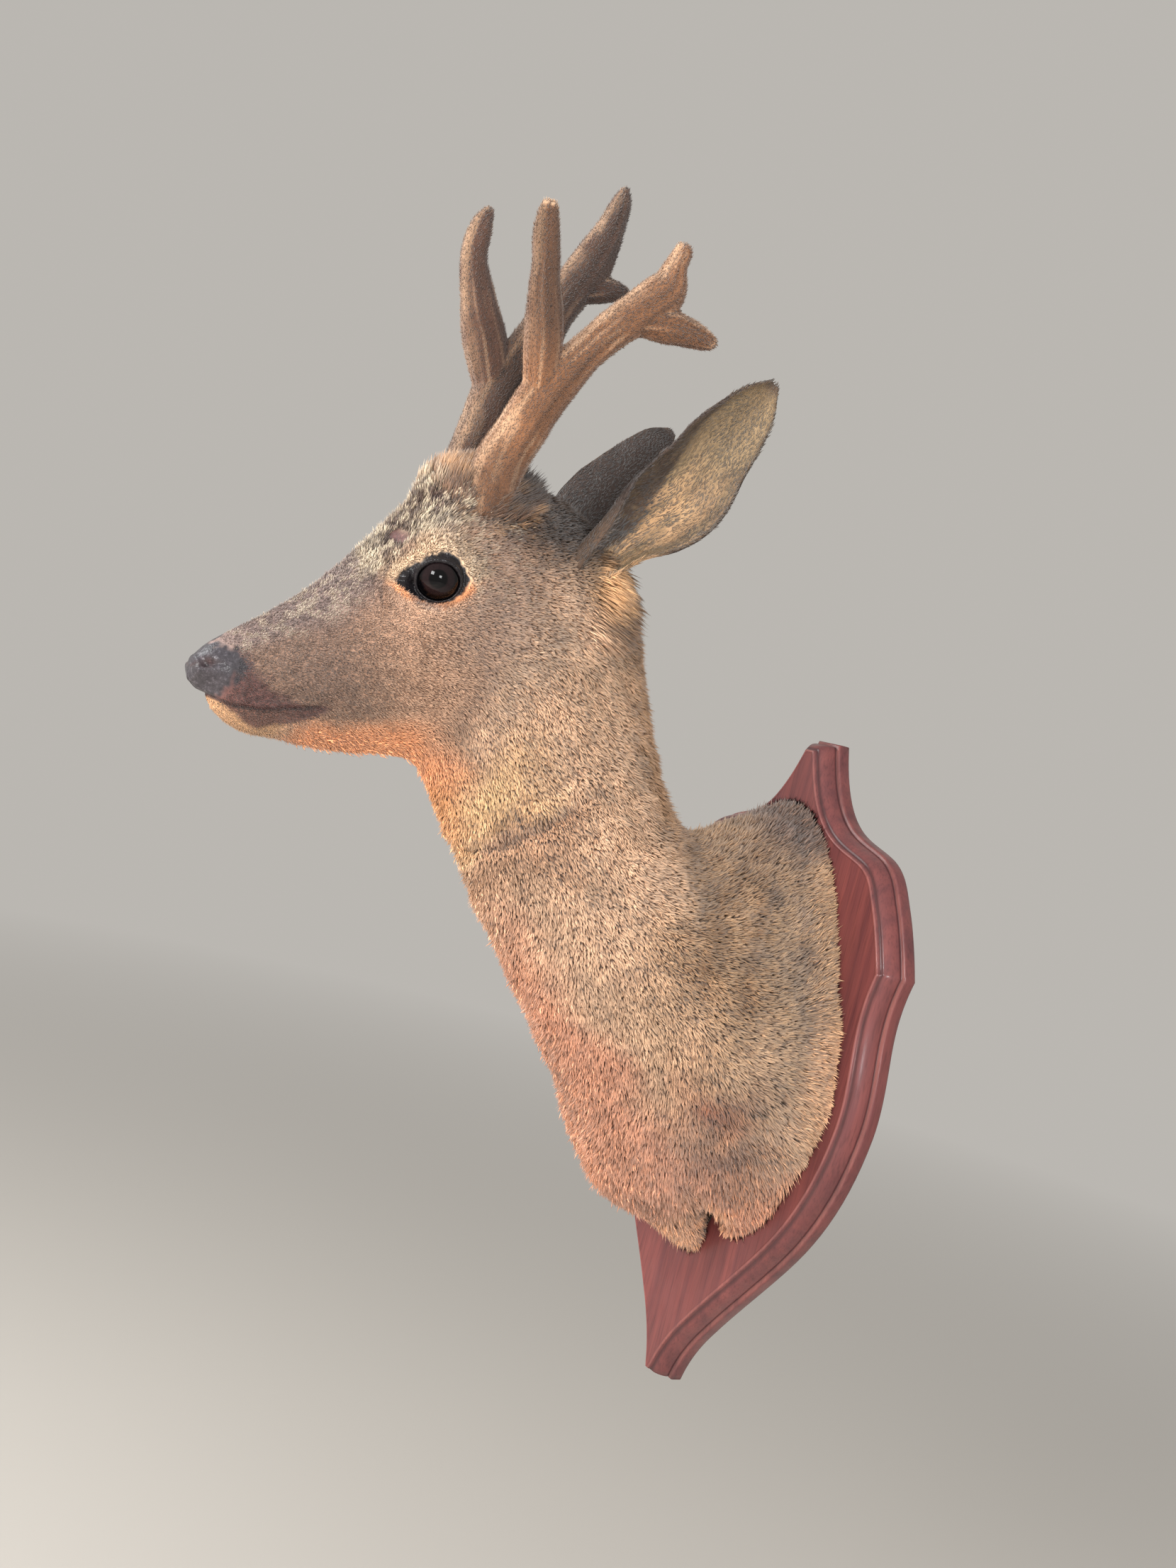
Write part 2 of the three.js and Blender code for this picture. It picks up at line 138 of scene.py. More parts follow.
# The skin is shaped to the ball this far from the eye's line and this far behind its centre; then the
# edge of the ball that it follows, and how high the lids stand on it.
EYE_REGION, EYE_BEHIND = 34, -14
BALL_EDGE, LID_OVER = 0.3, 1.1
# The ring that edges the lids: its size as a share of the opening's, and its height on the ball.
LID_RING, LID_RING_OVER = 0.97, 0.75
# The markings round an eye reach this far, and this far behind its centre.
RING_REGION, RING_BEHIND = 40, -16
# No frosted hair grows nearer to an eye's centre than this.
EYE_CLEAR = 24
# Edge of the dark lids round the eye, as front and up from the eye's centre.
LID_EDGE = np.array([
    [22.8, -0.4], [17.4, 4.6], [9.3, 8.8], [3.1, 12.7], [-3.1, 13.4], [-8.8, 12.0], [-12.4, 7.2],
    [-14.2, 3.3], [-17.1, -1.7], [-15.6, -4.6], [-10.5, -9.6], [-5.6, -12.2], [0.7, -13.3], [6.9, -11.6],
    [12.4, -9.8], [16.9, -6.7], [20.9, -3.8],
])
CREASE = np.array([[29, -14], [29.8, -4], [27, 4], [23, 9.5], [12.6, 15.1]], float)
TEAR_DUCT = np.array([[10, -2.5], [22, -1.0]], float)

# ---- the ears: middle of the opening, radius, half angle, base to tip ------------------------
EARS = {
    "left": np.array([
        [36, -232, 258, 13, 2.5], [43, -217, 284, 17, 1.95], [48, -204, 304, 27, 1.4],
        [52, -191, 323, 31, 1.2], [55, -183, 345, 28.5, 1.1], [58, -174, 364, 23.5, 1.05],
        [60, -167, 379, 17, 1.0], [61, -162, 391, 6, 0.9],
    ]),
    "right": np.array([
        [-36, -232, 258, 13, 2.5], [-43, -215, 279, 17, 1.95], [-48, -199, 297, 26, 1.4],
        [-52, -184, 313, 30, 1.2], [-55, -172, 331, 27, 1.1], [-58, -161, 348, 22, 1.05],
        [-60, -152, 362, 16, 1.0], [-61, -145, 372, 6, 0.9],
    ]),
}
# Pale hair behind each ear: where, squash by axis, reach, its ragged edge by noise, and its share.
EAR_ROOTS = [
    ((46, -212, 262), (0.8, 1, 1), 20, (0, 0, 0.15), 0.9),
    ((42, -209, 261), (0.6, 0.9, 0.8), 13, (0, 0.2, 0), 0.65),
]
# Thickness of the ear, depth of its coat, and points across it on each face.
EAR_WALL = 1.8
EAR_COAT = 0.9
EAR_STEPS = 26

# ---- the antlers: centre line, half depth fore and aft, half thickness across ---------------
ANTLERS = {
    "left": {
        "trunk": np.array([
            [19, -294, 276, 16.5, 15], [22, -296, 300, 16.5, 14.5], [26, -289, 326, 16, 14],
            [30, -281, 350, 15.5, 13.5], [33, -266, 376, 12, 11.5], [35, -249, 399, 13, 11.5],
            [37, -231, 420, 14, 12], [38, -229, 435, 9, 8.5], [38, -226, 446.5, 7, 6.5],
        ]),
        "front_tine": np.array([
            [31, -288, 350, 10.5, 10.5], [33, -294, 376, 13, 11.5], [35, -301.5, 400, 10.5, 9.5],
            [36, -306, 418, 9.5, 8.5], [37, -310, 432, 8.5, 7.5], [37, -311, 439, 7, 6.5],
        ]),
        "back_tine": np.array([
            [35, -243, 400, 9, 9], [38, -226, 404, 12, 10], [39, -213, 405, 10.5, 9.5],
            [40, -202, 404.5, 8.8, 8], [41, -195, 404, 6.5, 6],
        ]),
    },
    "right": {
        "trunk": np.array([
            [-19, -294, 276, 16.5, 15], [-23, -292, 300, 16.5, 14.5], [-27, -287, 326, 16.5, 14],
            [-31, -281, 350, 17.5, 13.5], [-34, -267, 381, 16, 12.5], [-36, -256, 411, 14, 11.5],
            [-38, -242, 438, 15, 11], [-39, -234.5, 462, 11.5, 9.5], [-40, -231, 482, 9, 7.5],
            [-40, -230, 491, 5, 4],
        ]),
        "front_tine": np.array([
            [-31, -286, 350, 11, 11], [-34, -296, 376, 15.5, 12], [-36, -306, 398, 12.5, 10.5],
            [-38, -313, 418, 10, 9], [-39, -313, 436, 8.5, 7.5], [-39, -311, 447, 5, 4.5],
        ]),
        "back_tine": np.array([
            [-37, -243, 424, 10, 9], [-39, -228, 431, 10, 8.5], [-40, -217, 434, 7.5, 7],
            [-40, -211, 435, 5, 4.5],
        ]),
    },
}
ANTLER_NODES = ("beam", "upper_beam", "top_tine", "front_tine", "back_tine")
# Lengths of trunk, front tine and back tine along their middles.
TUBE_LENGTHS = (185, 92, 50)
# Depth of the pile, and the cell size at which the tubes are joined.
VELVET_DEPTH = 2.2
VELVET_VOXEL = 1.3
# Points along each centre line, and how many points of the velvet are measured against them at once.
LINE_ROWS = 60
POINTS_AT_ONCE = 20000

# ---- the shield: half outline as joined curves, and the moulding [inset, back] ---------------
SHIELD_START = (11, 209)
SHIELD_CURVES = [
    ((17, 190), (27, 172), (40, 163)), ((52, 154), (68, 153), (80, 148)),
    ((93, 142), (97, 133), (104, 122)), ((111, 111), (118, 96), (123, 83)),
    ((118, 66), (118, 52), (120, 37)), ((122, 22), (125, 6), (123, -12)),
    ((118, -50), (105, -80), (82, -110)), ((66, -131), (46, -154), (32, -173)),
    ((22, -186), (14, -199), (10, -215)),
]
SHIELD_END_INSETS = (0.9, 0.4)
SHIELD_GAP = 0.04
MOULDING = [
    (10.6, 0.35), (10.2, 0.1), (9.8, 0), (9.3, 0.05), (8.8, 0.35), (8.5, 0.9), (8.3, 1.6), (7.9, 2.2),
    (7.3, 2.6), (6.7, 2.75), (6.3, 3.0), (5.6, 3.7), (4.8, 4.9), (4.0, 6.4), (3.3, 8.2), (2.8, 10.0),
    (2.5, 11.5), (2.4, 12.3), (2.65, 12.9), (2.6, 13.5), (2.1, 13.85), (1.2, 13.95), (0.5, 14.3),
    (0.1, 15.0), (0, 16.2), (0, 19.0), (0, 21.4), (0.35, 22.3), (1.1, 22.7),
]

# How deep behind the face lie the grooves, which get painted shade, and the edges, which are paled by
# wear and painted highlight; and how far each reaches.
SHADED_GROOVES, GROOVE_SHADE_REACH = (2.4, 13.2), 0.7
WORN_LIT_EDGES, WORN_LIT_EDGE_REACH = (0.2, 14.0), 0.35

# ---- the stage: metres, and the camera's angles in degrees -------------------------------------
# Light: name, place, aim, size, watts and colour.
LIGHTS = [
    ("key", (-0.5, -1.8, 0.75), (0, -0.2, 0.05), 1.3, 60, (1.0, 0.97, 0.93)),
    ("top", (0.9, -0.7, 1.7), (0, -0.15, 0.05), 1.6, 20, (0.98, 0.98, 1.0)),
    ("side", (2.1, -0.5, 0.3), (0, -0.15, 0.0), 1.6, 30, (0.98, 0.98, 1.0)),
    ("bounce", (0.5, -1.1, -0.57), (0, -0.2, 0.0), 1.3, 36, (1.0, 0.8, 0.68)),
    ("left_window", (0.9, -1.9, 0.75), (0, -0.3, 0.2), 0.5, 17, (1.0, 1.0, 1.0)),
    ("right_window", (2.2, -0.9, 0.5), (0, -0.3, 0.2), 0.5, 17, (1.0, 1.0, 1.0)),
    ("rim_window", (-1.0, -1.5, 1.1), (0, -0.4, 0.15), 0.8, 10, (0.95, 1.0, 1.0)),
]
STUDIO_GLOW = 0.8
FLOOR_SIZE = 30
# The floor's own colour as a share of the studio's.
FLOOR_SHADE = 0.62
CAMERA_PLACE = [0.8237, -0.6763, 0.1783]
CAMERA_AZIMUTH, CAMERA_ELEVATION, CAMERA_ROLL = 58.752, 1.862, 14.595
# The focal length and the frame's height in the same pixels.
FOCAL_PIXELS = 2300
FRAME_HEIGHT = 2212
SENSOR_WIDTH = 36

# ---- colours of the finishes, as red, green and blue out of 255 ------------------------------
PALETTE = {
    "neck_side": (219, 184, 153),
    "nape": (180, 144, 112),
    "throat": (228, 190, 148),
    # Orange of the throat's front with painted warm bounce light from below in it.
    "throat_front": (212, 154, 106),
    # Painted shade on the fold of the neck.
    "neck_fold": (176, 136, 106),
    # Rusty chest hair with painted warm bounce light from below in it.
    "chest_rust": (214, 156, 125),
    "shoulder": (182, 148, 114),
    # Painted shade in creases, folds and under the hair roll at the antlers.
    "shoulder_fold": (116, 84, 58),
    "throat_pale": (250, 214, 160),
    "low_chest": (150, 84, 54),
    "low_mauve": (158, 112, 84),
    "cape_edge": (214, 170, 132),
    "cape_top": (104, 86, 80),
    "cheek": (190, 153, 126),
    "muzzle_top": (128, 110, 104),
    "muzzle_side": (134, 108, 92),
    # Orange under the jaw, with painted warm bounce light from below in it.
    "jaw": (234, 166, 120),
    "chin": (192, 154, 118),
    "lips": (98, 70, 66),
    # Dark lip edge, also used as painted shade in the mouth's slit and the nostrils.
    "lip_edge": (62, 46, 44),
    "nose": (54, 52, 56),
    "eye_ring_top": (198, 170, 140),
    "eye_ring_low": (212, 148, 104),
    "lids": (24, 22, 24),
    "forehead": (120, 100, 88),
    "forehead_pale": (216, 200, 172),
    "bald_spot": (74, 50, 48),
    # Dark hair of the crown; on the antlers it is also laid as painted shade.
    "crown": (58, 46, 40),
    "forelock": (214, 168, 124),
    "ear_root": (240, 192, 142),
    "ear_inside": (122, 104, 80),
    # Painted shade deep in the ear.
    "ear_deep": (112, 90, 72),
    "ear_inside_pale": (152, 131, 101),
    "ear_rim": (80, 66, 58),
    "ear_back": (60, 50, 46),
    "left_velvet": (120, 84, 59),
    "right_velvet": (80, 58, 48),
    # Pale velvet for streaks and worn tips, and a painted highlight on the front edge.
    "velvet_tip": (200, 166, 134),
    "shield_light": (99, 52, 50),
    "shield_dark": (76, 40, 42),
    # Painted shade in the shield's grooves.
    "shield_groove": (40, 20, 23),
    # Near black in the tear's hole: painted shade.
    "tear": (12, 9, 8),
    "floor": (206, 202, 196),
}


# ---- small tools -----------------------------------------------------------------------------

def linear(colour):
    """A stored colour turned to light: (c + 0.055) / 1.055 to the power 2.4, or c / 12.92 if dark."""
    c = np.asarray(colour, float)
    return np.where(c > 0.04045, ((c + 0.055) / 1.055) ** 2.4, c / 12.92)


def step(value, low, high):
    """Rises from 0 at low to 1 at high along 3t squared less 2t cubed."""
    t = np.clip((value - low) / (high - low), 0, 1)
    return t * t * (3 - 2 * t)


def drop(value, low, high):
    """Falls from 1 at low to 0 at high."""
    return 1 - step(value, low, high)


def unit(vectors):
    """The vectors divided by their lengths."""
    return vectors / np.maximum(np.linalg.norm(vectors, axis=-1, keepdims=True), 1e-9)


def span(vectors):
    """The vectors' lengths."""
    return np.linalg.norm(vectors, axis=-1)


def fall(distance, reach, power=2):
    """e to minus (distance / reach) to a power: 1 at no distance, and nearly 0 well past the reach."""
    return np.exp(-(distance / reach) ** power)


def folded(points):
    """The points with the right side folded onto the left."""
    return np.concatenate([np.abs(points[..., :1]), points[..., 1:]], axis=-1)


def laid_flat(vectors, normal):
    """The vectors less their parts along the normals."""
    return vectors - normal * (vectors * normal).sum(-1, keepdims=True)


def mixed(a, b, share):
    """a where share is 0 and b where it is 1."""
    share = np.asarray(share)[..., None]
    return a * (1 - share) + b * share


def curve(a, b, c, d, t):
    """Catmull-Rom from b to c: each is left along half the step between its neighbours."""
    return (b + t * (c - a) / 2 + t * t * (2 * a - 5 * b + 4 * c - d) / 2
            + t ** 3 * (3 * b - a - 3 * c + d) / 2)


def carried(table, place):
    """The curve through a table's rows, read at a place that counts rows; the ends run on straight."""
    ends = np.concatenate([[2 * table[0] - table[1]], table, [2 * table[-1] - table[-2]]])
    low = np.clip(np.floor(place).astype(int), 0, len(table) - 2)
    return curve(*(ends[low + k] for k in range(4)), (place - low)[..., None])


def carried_across(values, place):
    """The curve along the last axis of values, each read at its own place."""
    first, last = 2 * values[..., :1] - values[..., 1:2], 2 * values[..., -1:] - values[..., -2:-1]
    ends = np.concatenate([first, values, last], axis=-1)
    low = np.clip(np.floor(place).astype(int), 0, values.shape[-1] - 2)
    near = (np.take_along_axis(ends, (low + k)[..., None], axis=-1)[..., 0] for k in range(4))
    return curve(*near, place - low)


LATTICE = np.random.default_rng(SEEDS["noise"]).random((32, 32, 32, 3)) * 2 - 1


def cloud(points, size):
    """Smooth noise, three numbers from -1 to 1: a box of random values, blended between its corners."""
    scaled = points / size
    low = np.floor(scaled).astype(int)
    t = scaled - low
    t = t * t * (3 - 2 * t)
    total = 0
    for corner in itertools.product((0, 1), repeat=3):
        weight = np.prod(np.where(corner, t, 1 - t), axis=-1, keepdims=True)
        i = (low + corner) % len(LATTICE)
        total = total + weight * LATTICE[i[..., 0], i[..., 1], i[..., 2]]
    return total


def from_line(points, line):
    """Distance of 2-D points from a bent line, and on which side they lie (positive to its left)."""
    best = np.full(points.shape[:-1], 1e9)
    side = np.zeros(points.shape[:-1])
    for a, b in zip(line[:-1], line[1:]):
        run = b - a
        t = np.clip((points - a) @ run / (run @ run), 0, 1)
        off = points - a - t[..., None] * run
        distance = span(off)
        cross = run[0] * (points[..., 1] - a[1]) - run[1] * (points[..., 0] - a[0])
        nearer = distance < best
        side = np.where(nearer, np.sign(cross), side)
        best = np.where(nearer, distance, best)
    return best, side


def grid_faces(rows, columns, closed_rows=False):
    """Four-cornered faces of a grid of points, numbered row by row; each row closes on itself."""
    i = np.arange(rows if closed_rows else rows - 1)[:, None] * columns
    j = np.arange(columns)[None, :]
    k, n = (i + columns) % (rows * columns), (j + 1) % columns
    return np.stack([i + j, i + n, k + n, k + j], -1).reshape(-1, 4)


def fan(ring, centre, turned):
    """Three-cornered faces from a ring of points to one centre point."""
    a, b = ring, np.roll(ring, -1)
    middle = np.full_like(ring, centre)
    return np.stack([b, a, middle] if turned else [a, b, middle], -1)


def volume(points, quads, triangles):
    """Signed volume inside the faces: the sum of a . (b x c) / 6 over their triangles."""
    parts = np.concatenate([quads[:, [0, 1, 2]], quads[:, [0, 2, 3]], triangles]).astype(int)
    a, b, c = (points[parts[:, k]] for k in range(3))
    return (a * np.cross(b, c)).sum() / 6


def closed_tube(rings):
    """A stack of rings as one closed form: its points, quads and end triangles, facing outwards."""
    rows, columns = rings.shape[:2]
    points = np.concatenate([rings.reshape(-1, 3), rings[:1].mean(1), rings[-1:].mean(1)])
    quads = grid_faces(rows, columns)
    first, last = np.arange(columns), np.arange(columns) + (rows - 1) * columns
    triangles = np.concatenate([fan(first, rows * columns, True), fan(last, rows * columns + 1, False)])
    if volume(points, quads, triangles) < 0:
        quads, triangles = quads[:, ::-1], triangles[:, ::-1]
    return points, quads, triangles


def joined(parts):
    """Several (points, quads, triangles) as one."""
    points, quads, triangles, count = [], [], [], 0
    for p, q, t in parts:
        points.append(p)
        quads.append(q + count)
        triangles.append(t + count)
        count += len(p)
    return np.concatenate(points), np.concatenate(quads), np.concatenate(triangles)


def keep_values(mesh, key, data):
    """Keeps a number or a colour for each point of a mesh."""
    if data.ndim == 2:
        attribute = mesh.attributes.new(key, "FLOAT_COLOR", "POINT")
        whole = np.concatenate([data, np.ones((len(data), 1))], axis=1)
        attribute.data.foreach_set("color", whole.astype(np.float32).ravel())
    else:
        attribute = mesh.attributes.new(key, "FLOAT", "POINT")
        attribute.data.foreach_set("value", data.astype(np.float32))


def placed(name, mesh, slot, finish, replaced=()):
    """An object of a mesh, with its finish, body and the nodes that it replaces. The slot is not used.
    """
    mesh.materials.clear()
    mesh.materials.append(finish)
    piece = bpy.data.objects.new(name, mesh)
    bpy.context.scene.collection.objects.link(piece)
    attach(piece, "root")
    if replaced:
        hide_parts(*replaced)
    return piece


def new_piece(name, points, quads, triangles, slot, finish, maps=None, values=None, replaced=(),
              smooth=True):
    """A piece from arrays in millimetres, with its maps and the values kept on its points."""
    mesh = bpy.data.meshes.new(name)
    corners = np.concatenate([quads.ravel(), triangles.ravel()]).astype(np.int32)
    starts = np.concatenate([np.arange(len(quads)) * 4, len(quads) * 4 + np.arange(len(triangles)) * 3])
    mesh.vertices.add(len(points))
    mesh.vertices.foreach_set("co", (points * MM).astype(np.float32).ravel())
    mesh.loops.add(len(corners))
    mesh.loops.foreach_set("vertex_index", corners)
    mesh.polygons.add(len(starts))
    mesh.polygons.foreach_set("loop_start", starts.astype(np.int32))
    mesh.polygons.foreach_set("use_smooth", np.broadcast_to(smooth, len(starts)).copy())
    for key, at_points in (maps or {}).items():
        layer = mesh.uv_layers.new(name=key)
        layer.uv.foreach_set("vector", at_points[corners].astype(np.float32).ravel())
    for key, data in (values or {}).items():
        keep_values(mesh, key, data)
    mesh.update(calc_edges=True)
    return placed(name, mesh, slot, finish, replaced)


# ---- shader building -------------------------------------------------------------------------

class Value:
    """A number socket of a finish; + - * and / on it add Math nodes."""

    def __init__(self, finish, socket):
        self.finish = finish
        self.socket = socket

    def math(self, operation, *pair):
        """A Math node fed by a pair of values."""
        return self.finish.value("ShaderNodeMath", {"operation": operation}, list(pair))

    def __add__(self, other):
        return self.math("ADD", self, other)

    def __sub__(self, other):
        return self.math("SUBTRACT", self, other)

    def __mul__(self, other):
        return self.math("MULTIPLY", self, other)

    def __truediv__(self, other):
        return self.math("DIVIDE", self, other)

    def __rsub__(self, other):
        return self.math("SUBTRACT", other, self)

    def __rtruediv__(self, other):
        return self.math("DIVIDE", other, self)

    __radd__ = __add__
    __rmul__ = __mul__


class Finish:
    """A material with one Principled shader, and the nodes that feed it."""

    def __init__(self, name, **constants):
        self.material = bpy.data.materials.new(name)
        self.material.use_nodes = True
        self.tree = self.material.node_tree
        self.shader = self.tree.nodes["Principled BSDF"]
        for key, value in constants.items():
            self.shader.inputs[key.replace("_", " ")].default_value = value

    def node(self, kind, settings=None, inputs=None):
        """A node of that kind: its settings first, then values or links for its sockets."""
        node = self.tree.nodes.new(kind)
        for key, value in (settings or {}).items():
            if key == "stops":
                self.stops(node.color_ramp, value)
            else:
                setattr(node, key, value)
        pairs = enumerate(inputs) if isinstance(inputs, list) else (inputs or {}).items()
        for key, value in pairs:
            self.feed(node.inputs[key], value)
        return node

    def stops(self, ramp, stops):
        """Sets a ramp's places and grey or coloured stops."""
        while len(ramp.elements) < len(stops):
            ramp.elements.new(1)
        for element, (place, colour) in zip(ramp.elements, stops):
            element.position = place
            element.color = (*colour, 1) if hasattr(colour, "__len__") else (colour, colour, colour, 1)

    def feed(self, socket, value):
        """Links a value or socket to a socket, or sets it."""
        value = getattr(value, "socket", value)
        if isinstance(value, bpy.types.NodeSocket):
            self.tree.links.new(value, socket)
        elif value is not None:
            socket.default_value = value

    def value(self, kind, settings=None, inputs=None, output=0):
        """One output of a new node, as a Value."""
        return Value(self, self.node(kind, settings, inputs).outputs[output])

    def attribute(self, name, output="Fac"):
        """A value or colour kept on the mesh's points."""
        return self.value("ShaderNodeAttribute", {"attribute_name": name}, output=output)

    def place(self, source="Object"):
        """Object coordinates, or the piece's own map."""
        return self.value("ShaderNodeTexCoord", output=source)

    def stretched(self, scale, source="Object"):
        """Coordinates multiplied by a scale for each axis."""
        return self.value("ShaderNodeMapping", inputs={"Vector": self.place(source), "Scale": scale})

    def noise(self, vector, scale, detail=2, rough=0.5, distortion=0):
        """Noise from 0 to 1."""
        return self.value("ShaderNodeTexNoise", inputs={
            "Vector": vector, "Scale": scale, "Detail": detail, "Roughness": rough,
            "Distortion": distortion})

    def grain(self, scale, detail=2, rough=0.5, source="Object"):
        """Noise over coordinates that are multiplied by a scale for each axis."""
        return self.noise(self.stretched(scale, source), 1.0, detail, rough)

    def ramp(self, value, stops):
        """A value or colour read from stops."""
        return self.value("ShaderNodeValToRGB", {"stops": stops}, {"Fac": value})

    def mix(self, share, a, b, blend="MIX"):
        """Two colours mixed."""
        node = self.node("ShaderNodeMix", {"data_type": "RGBA", "blend_type": blend})
        for index, value in ((0, share), (6, a), (7, b)):
            self.feed(node.inputs[index], value)
        return Value(self, node.outputs[2])

    def times(self, colour, grey):
        """A colour multiplied by a number."""
        return self.value("ShaderNodeVectorMath", {"operation": "SCALE"}, {
            "Vector": colour, "Scale": grey})

    def bump(self, height, strength, distance):
        """A bump from a height."""
        return self.value("ShaderNodeBump", inputs={
            "Height": height, "Strength": strength, "Distance": distance}, output="Normal")

    def finish(self, **sockets):
        """Feeds the shader's sockets and gives the material."""
        for key, value in sockets.items():
            self.feed(self.shader.inputs[key.replace("_", " ")], value)
        return self.material


def rgba(colour):
    """A stored colour as a socket's four numbers."""
    return (*linear(colour), 1)


# ---- the body's surface ----------------------------------------------------------------------

def body_outline(place, turn):
    """Sections across the spine: along one, q = (1 - cos turn) / 2 runs from its highest to its lowest
    point, and the half width is read through five widths at 4q and multiplied by sin turn."""
    row = carried(SECTIONS, place)
    q = (1 - np.cos(turn)) / 2
    width = carried_across(row[..., 4:], 4 * q)
    return np.stack([
        np.sin(turn) * width,
        row[..., 0] + q * (row[..., 2] - row[..., 0]),
        row[..., 1] + q * (row[..., 3] - row[..., 1]),
    ], axis=-1)


def body_normal(place, turn):
    """Outward normal: the step round the section crossed with the step along the spine."""
    e = 0.02
    low, high = np.maximum(place - e, 0), np.minimum(place + e, LAST_SECTION)
    along = body_outline(high, turn) - body_outline(low, turn)
    across = body_outline(place, turn + e) - body_outline(place, turn - e)
    return unit(np.cross(across, along))


def swollen(points):
    """Height of the swellings: the sum of height times e to minus (distance / reach) squared."""
    near = folded(points)
    return sum(height * np.exp(-((near - centre) ** 2).sum(-1) / reach ** 2)
               for centre, reach, height in SWELLINGS)


def eye_place(points):
    """Front, up and out of points from the eye's centre, their sides folded onto the left one."""
    off = folded(points) - EYE_CENTRE
    return off @ EYE_FRONT, off @ EYE_UP, off @ EYE_OUT


def from_eye(front, up, out):
    """Points from how far they lie to the front, up and out of the left eye's centre."""
    return EYE_CENTRE + front[..., None] * EYE_FRONT + up[..., None] * EYE_UP + out[..., None] * EYE_OUT


def lid_share(front, up):
    """Distance from the opening's middle, less the dark lids' edge in that direction."""
    edge = LID_EDGE + [0, OPENING_DROP]
    angles = np.arctan2(edge[:, 1], edge[:, 0])
    order = np.argsort(angles)
    reach = np.interp(np.arctan2(up + OPENING_DROP, front), angles[order],
                      np.hypot(edge[order, 0], edge[order, 1]), period=2 * np.pi)
    return np.hypot(front, up + OPENING_DROP) - reach


def opening_share(front, up):
    """1 on the edge of the eye's opening, an ellipse, and 0 in its middle."""
    return np.hypot(front / EYE_OPENING[0], (up + OPENING_DROP) / EYE_OPENING[1])


def with_eyes(points):
    """Moves the skin along the eye's outward line: behind the ball within the opening, just over the
    ball at its edge, and back to the head's own surface half as far out again; the tear duct and the
    crease before the eye are grooves that fall off with e to minus distance squared."""
    front, up, out = eye_place(points)
    near = (np.hypot(front, up) < EYE_REGION) & (out > EYE_BEHIND)
    share = opening_share(front, up)
    reach = np.minimum(np.hypot(front, up), EYE_RADIUS + BALL_EDGE)
    lid = np.sqrt((EYE_RADIUS + LID_OVER) ** 2 - reach ** 2)
    blend = step(share, 1.0, 1.5)
    outer = lid * (1 - blend) + out * blend
    inner = lid * 0.2
    wanted = np.where(share > 1, outer, inner + (lid - inner) * step(share, 0.84, 0.98))
    flat = np.stack([front, up], -1)
    duct, crease = (from_line(flat, line)[0] for line in (TEAR_DUCT, CREASE))
    wanted = wanted - 2.0 * fall(duct, 1.7) * (share > 1)
    wanted = wanted - 0.8 * fall(crease, 1.1) + 0.7 * fall(crease - 2.4, 1.6)
    shift = np.where(near, wanted - out, 0)[..., None] * EYE_OUT
    shift[..., 0] *= np.sign(points[..., 0])
    return points + shift


def mouth_groove(points, place):
    """The lips: a groove on the mouth line, the lower lip drawn in and the upper one let out."""
    distance, side = from_line(points[..., 1:], MOUTH_LINE)
    fade = drop(points[..., 1], -364, -356)
    below = (side < 0) & (place < 6)
    groove = -1.7 * fall(distance, 0.85)
    lower = -1.1 * fall(distance, 6) * below
    upper = 0.7 * fall(distance - 2.6, 2) * (1 - below)
    return (groove + lower + upper) * fade * (place < 7)


def nostril_depth(points):
    """Comma-shaped pits: round ones that carry on back and up in a narrowing slit."""
    off = folded(points) - NOSTRIL
    tail = np.clip((off[..., 1] - off[..., 2] * 0.2) / 7, 0, 1)
    bent = off - tail[..., None] * np.array([2.5, 7, 1.2])
    far = span(bent * [0.6, 1, 1])
    return -4.5 * (1 - 0.5 * tail) * fall(far, 2.3 - 1.0 * tail)


def skin_lines():
    """Places along the spine and turns round it for the skin's grid, closest on the face and eyes."""
    s = np.linspace(0, LAST_SECTION, 2001)
    side = body_outline(s, np.full_like(s, np.pi / 2))
    top = body_outline(s, np.zeros_like(s))
    length = (np.linalg.norm(np.diff(side, axis=0), axis=1)
              + np.linalg.norm(np.diff(top, axis=0), axis=1)) / 2
    middle = (s[1:] + s[:-1]) / 2
    spacing = 1.0 + 1.9 * step(middle, 8.8, 11) - 0.25 * fall(middle - 6.9, 1.0)
    count = np.concatenate([[0], np.cumsum(length / spacing)])
    places = np.interp(np.arange(int(count[-1]) + 1) / int(count[-1]) * count[-1], count, s)
    turn = np.linspace(0, 2 * np.pi, 2001)
    close = 1 + 0.8 * sum(fall(turn - np.radians(eye), np.radians(20)) for eye in (63, 297))
    total = np.concatenate([[0], np.cumsum((close[1:] + close[:-1]) / 2)])
    turns = np.interp(np.arange(SKIN_SIDES) / SKIN_SIDES * total[-1], total, turn)
    return places, turns


def drawn_up(points, place):
    """How far the cape's foot is drawn up: a little by turns along it, and much in the tear's notch."""
    side = points[..., 0]
    foot = (7.5 + 1.5 * np.cos(side / 9)) * drop(np.abs(side), 40, 75)
    notch = 13 * fall(side - 29, 4.2, 4) * step(place, 19.2, 19.9)
    return (foot * step(place, 18.6, 19.9) + notch) * (points[..., 2] < -60)


def torn(points):
    """1 in the tear that runs from a hole beside the cape's middle down to its edge, 0 away from it."""
    run = TEAR_END - HOLE
    t = np.clip((points - HOLE) @ run / (run @ run), -0.3, 1.4)
    far = span((points - HOLE - t[..., None] * run) * [0.85, 0.6, 1])
    return fall(far, 7.2 - 1.6 * np.clip(t, 0, 1), 4)


def grid_normal(points):
    """Outward normals of the body's grid from the steps between its points."""
    along = np.gradient(points, axis=0)
    across = np.roll(points, -1, axis=1) - np.roll(points, 1, axis=1)
    return unit(np.cross(across, along))


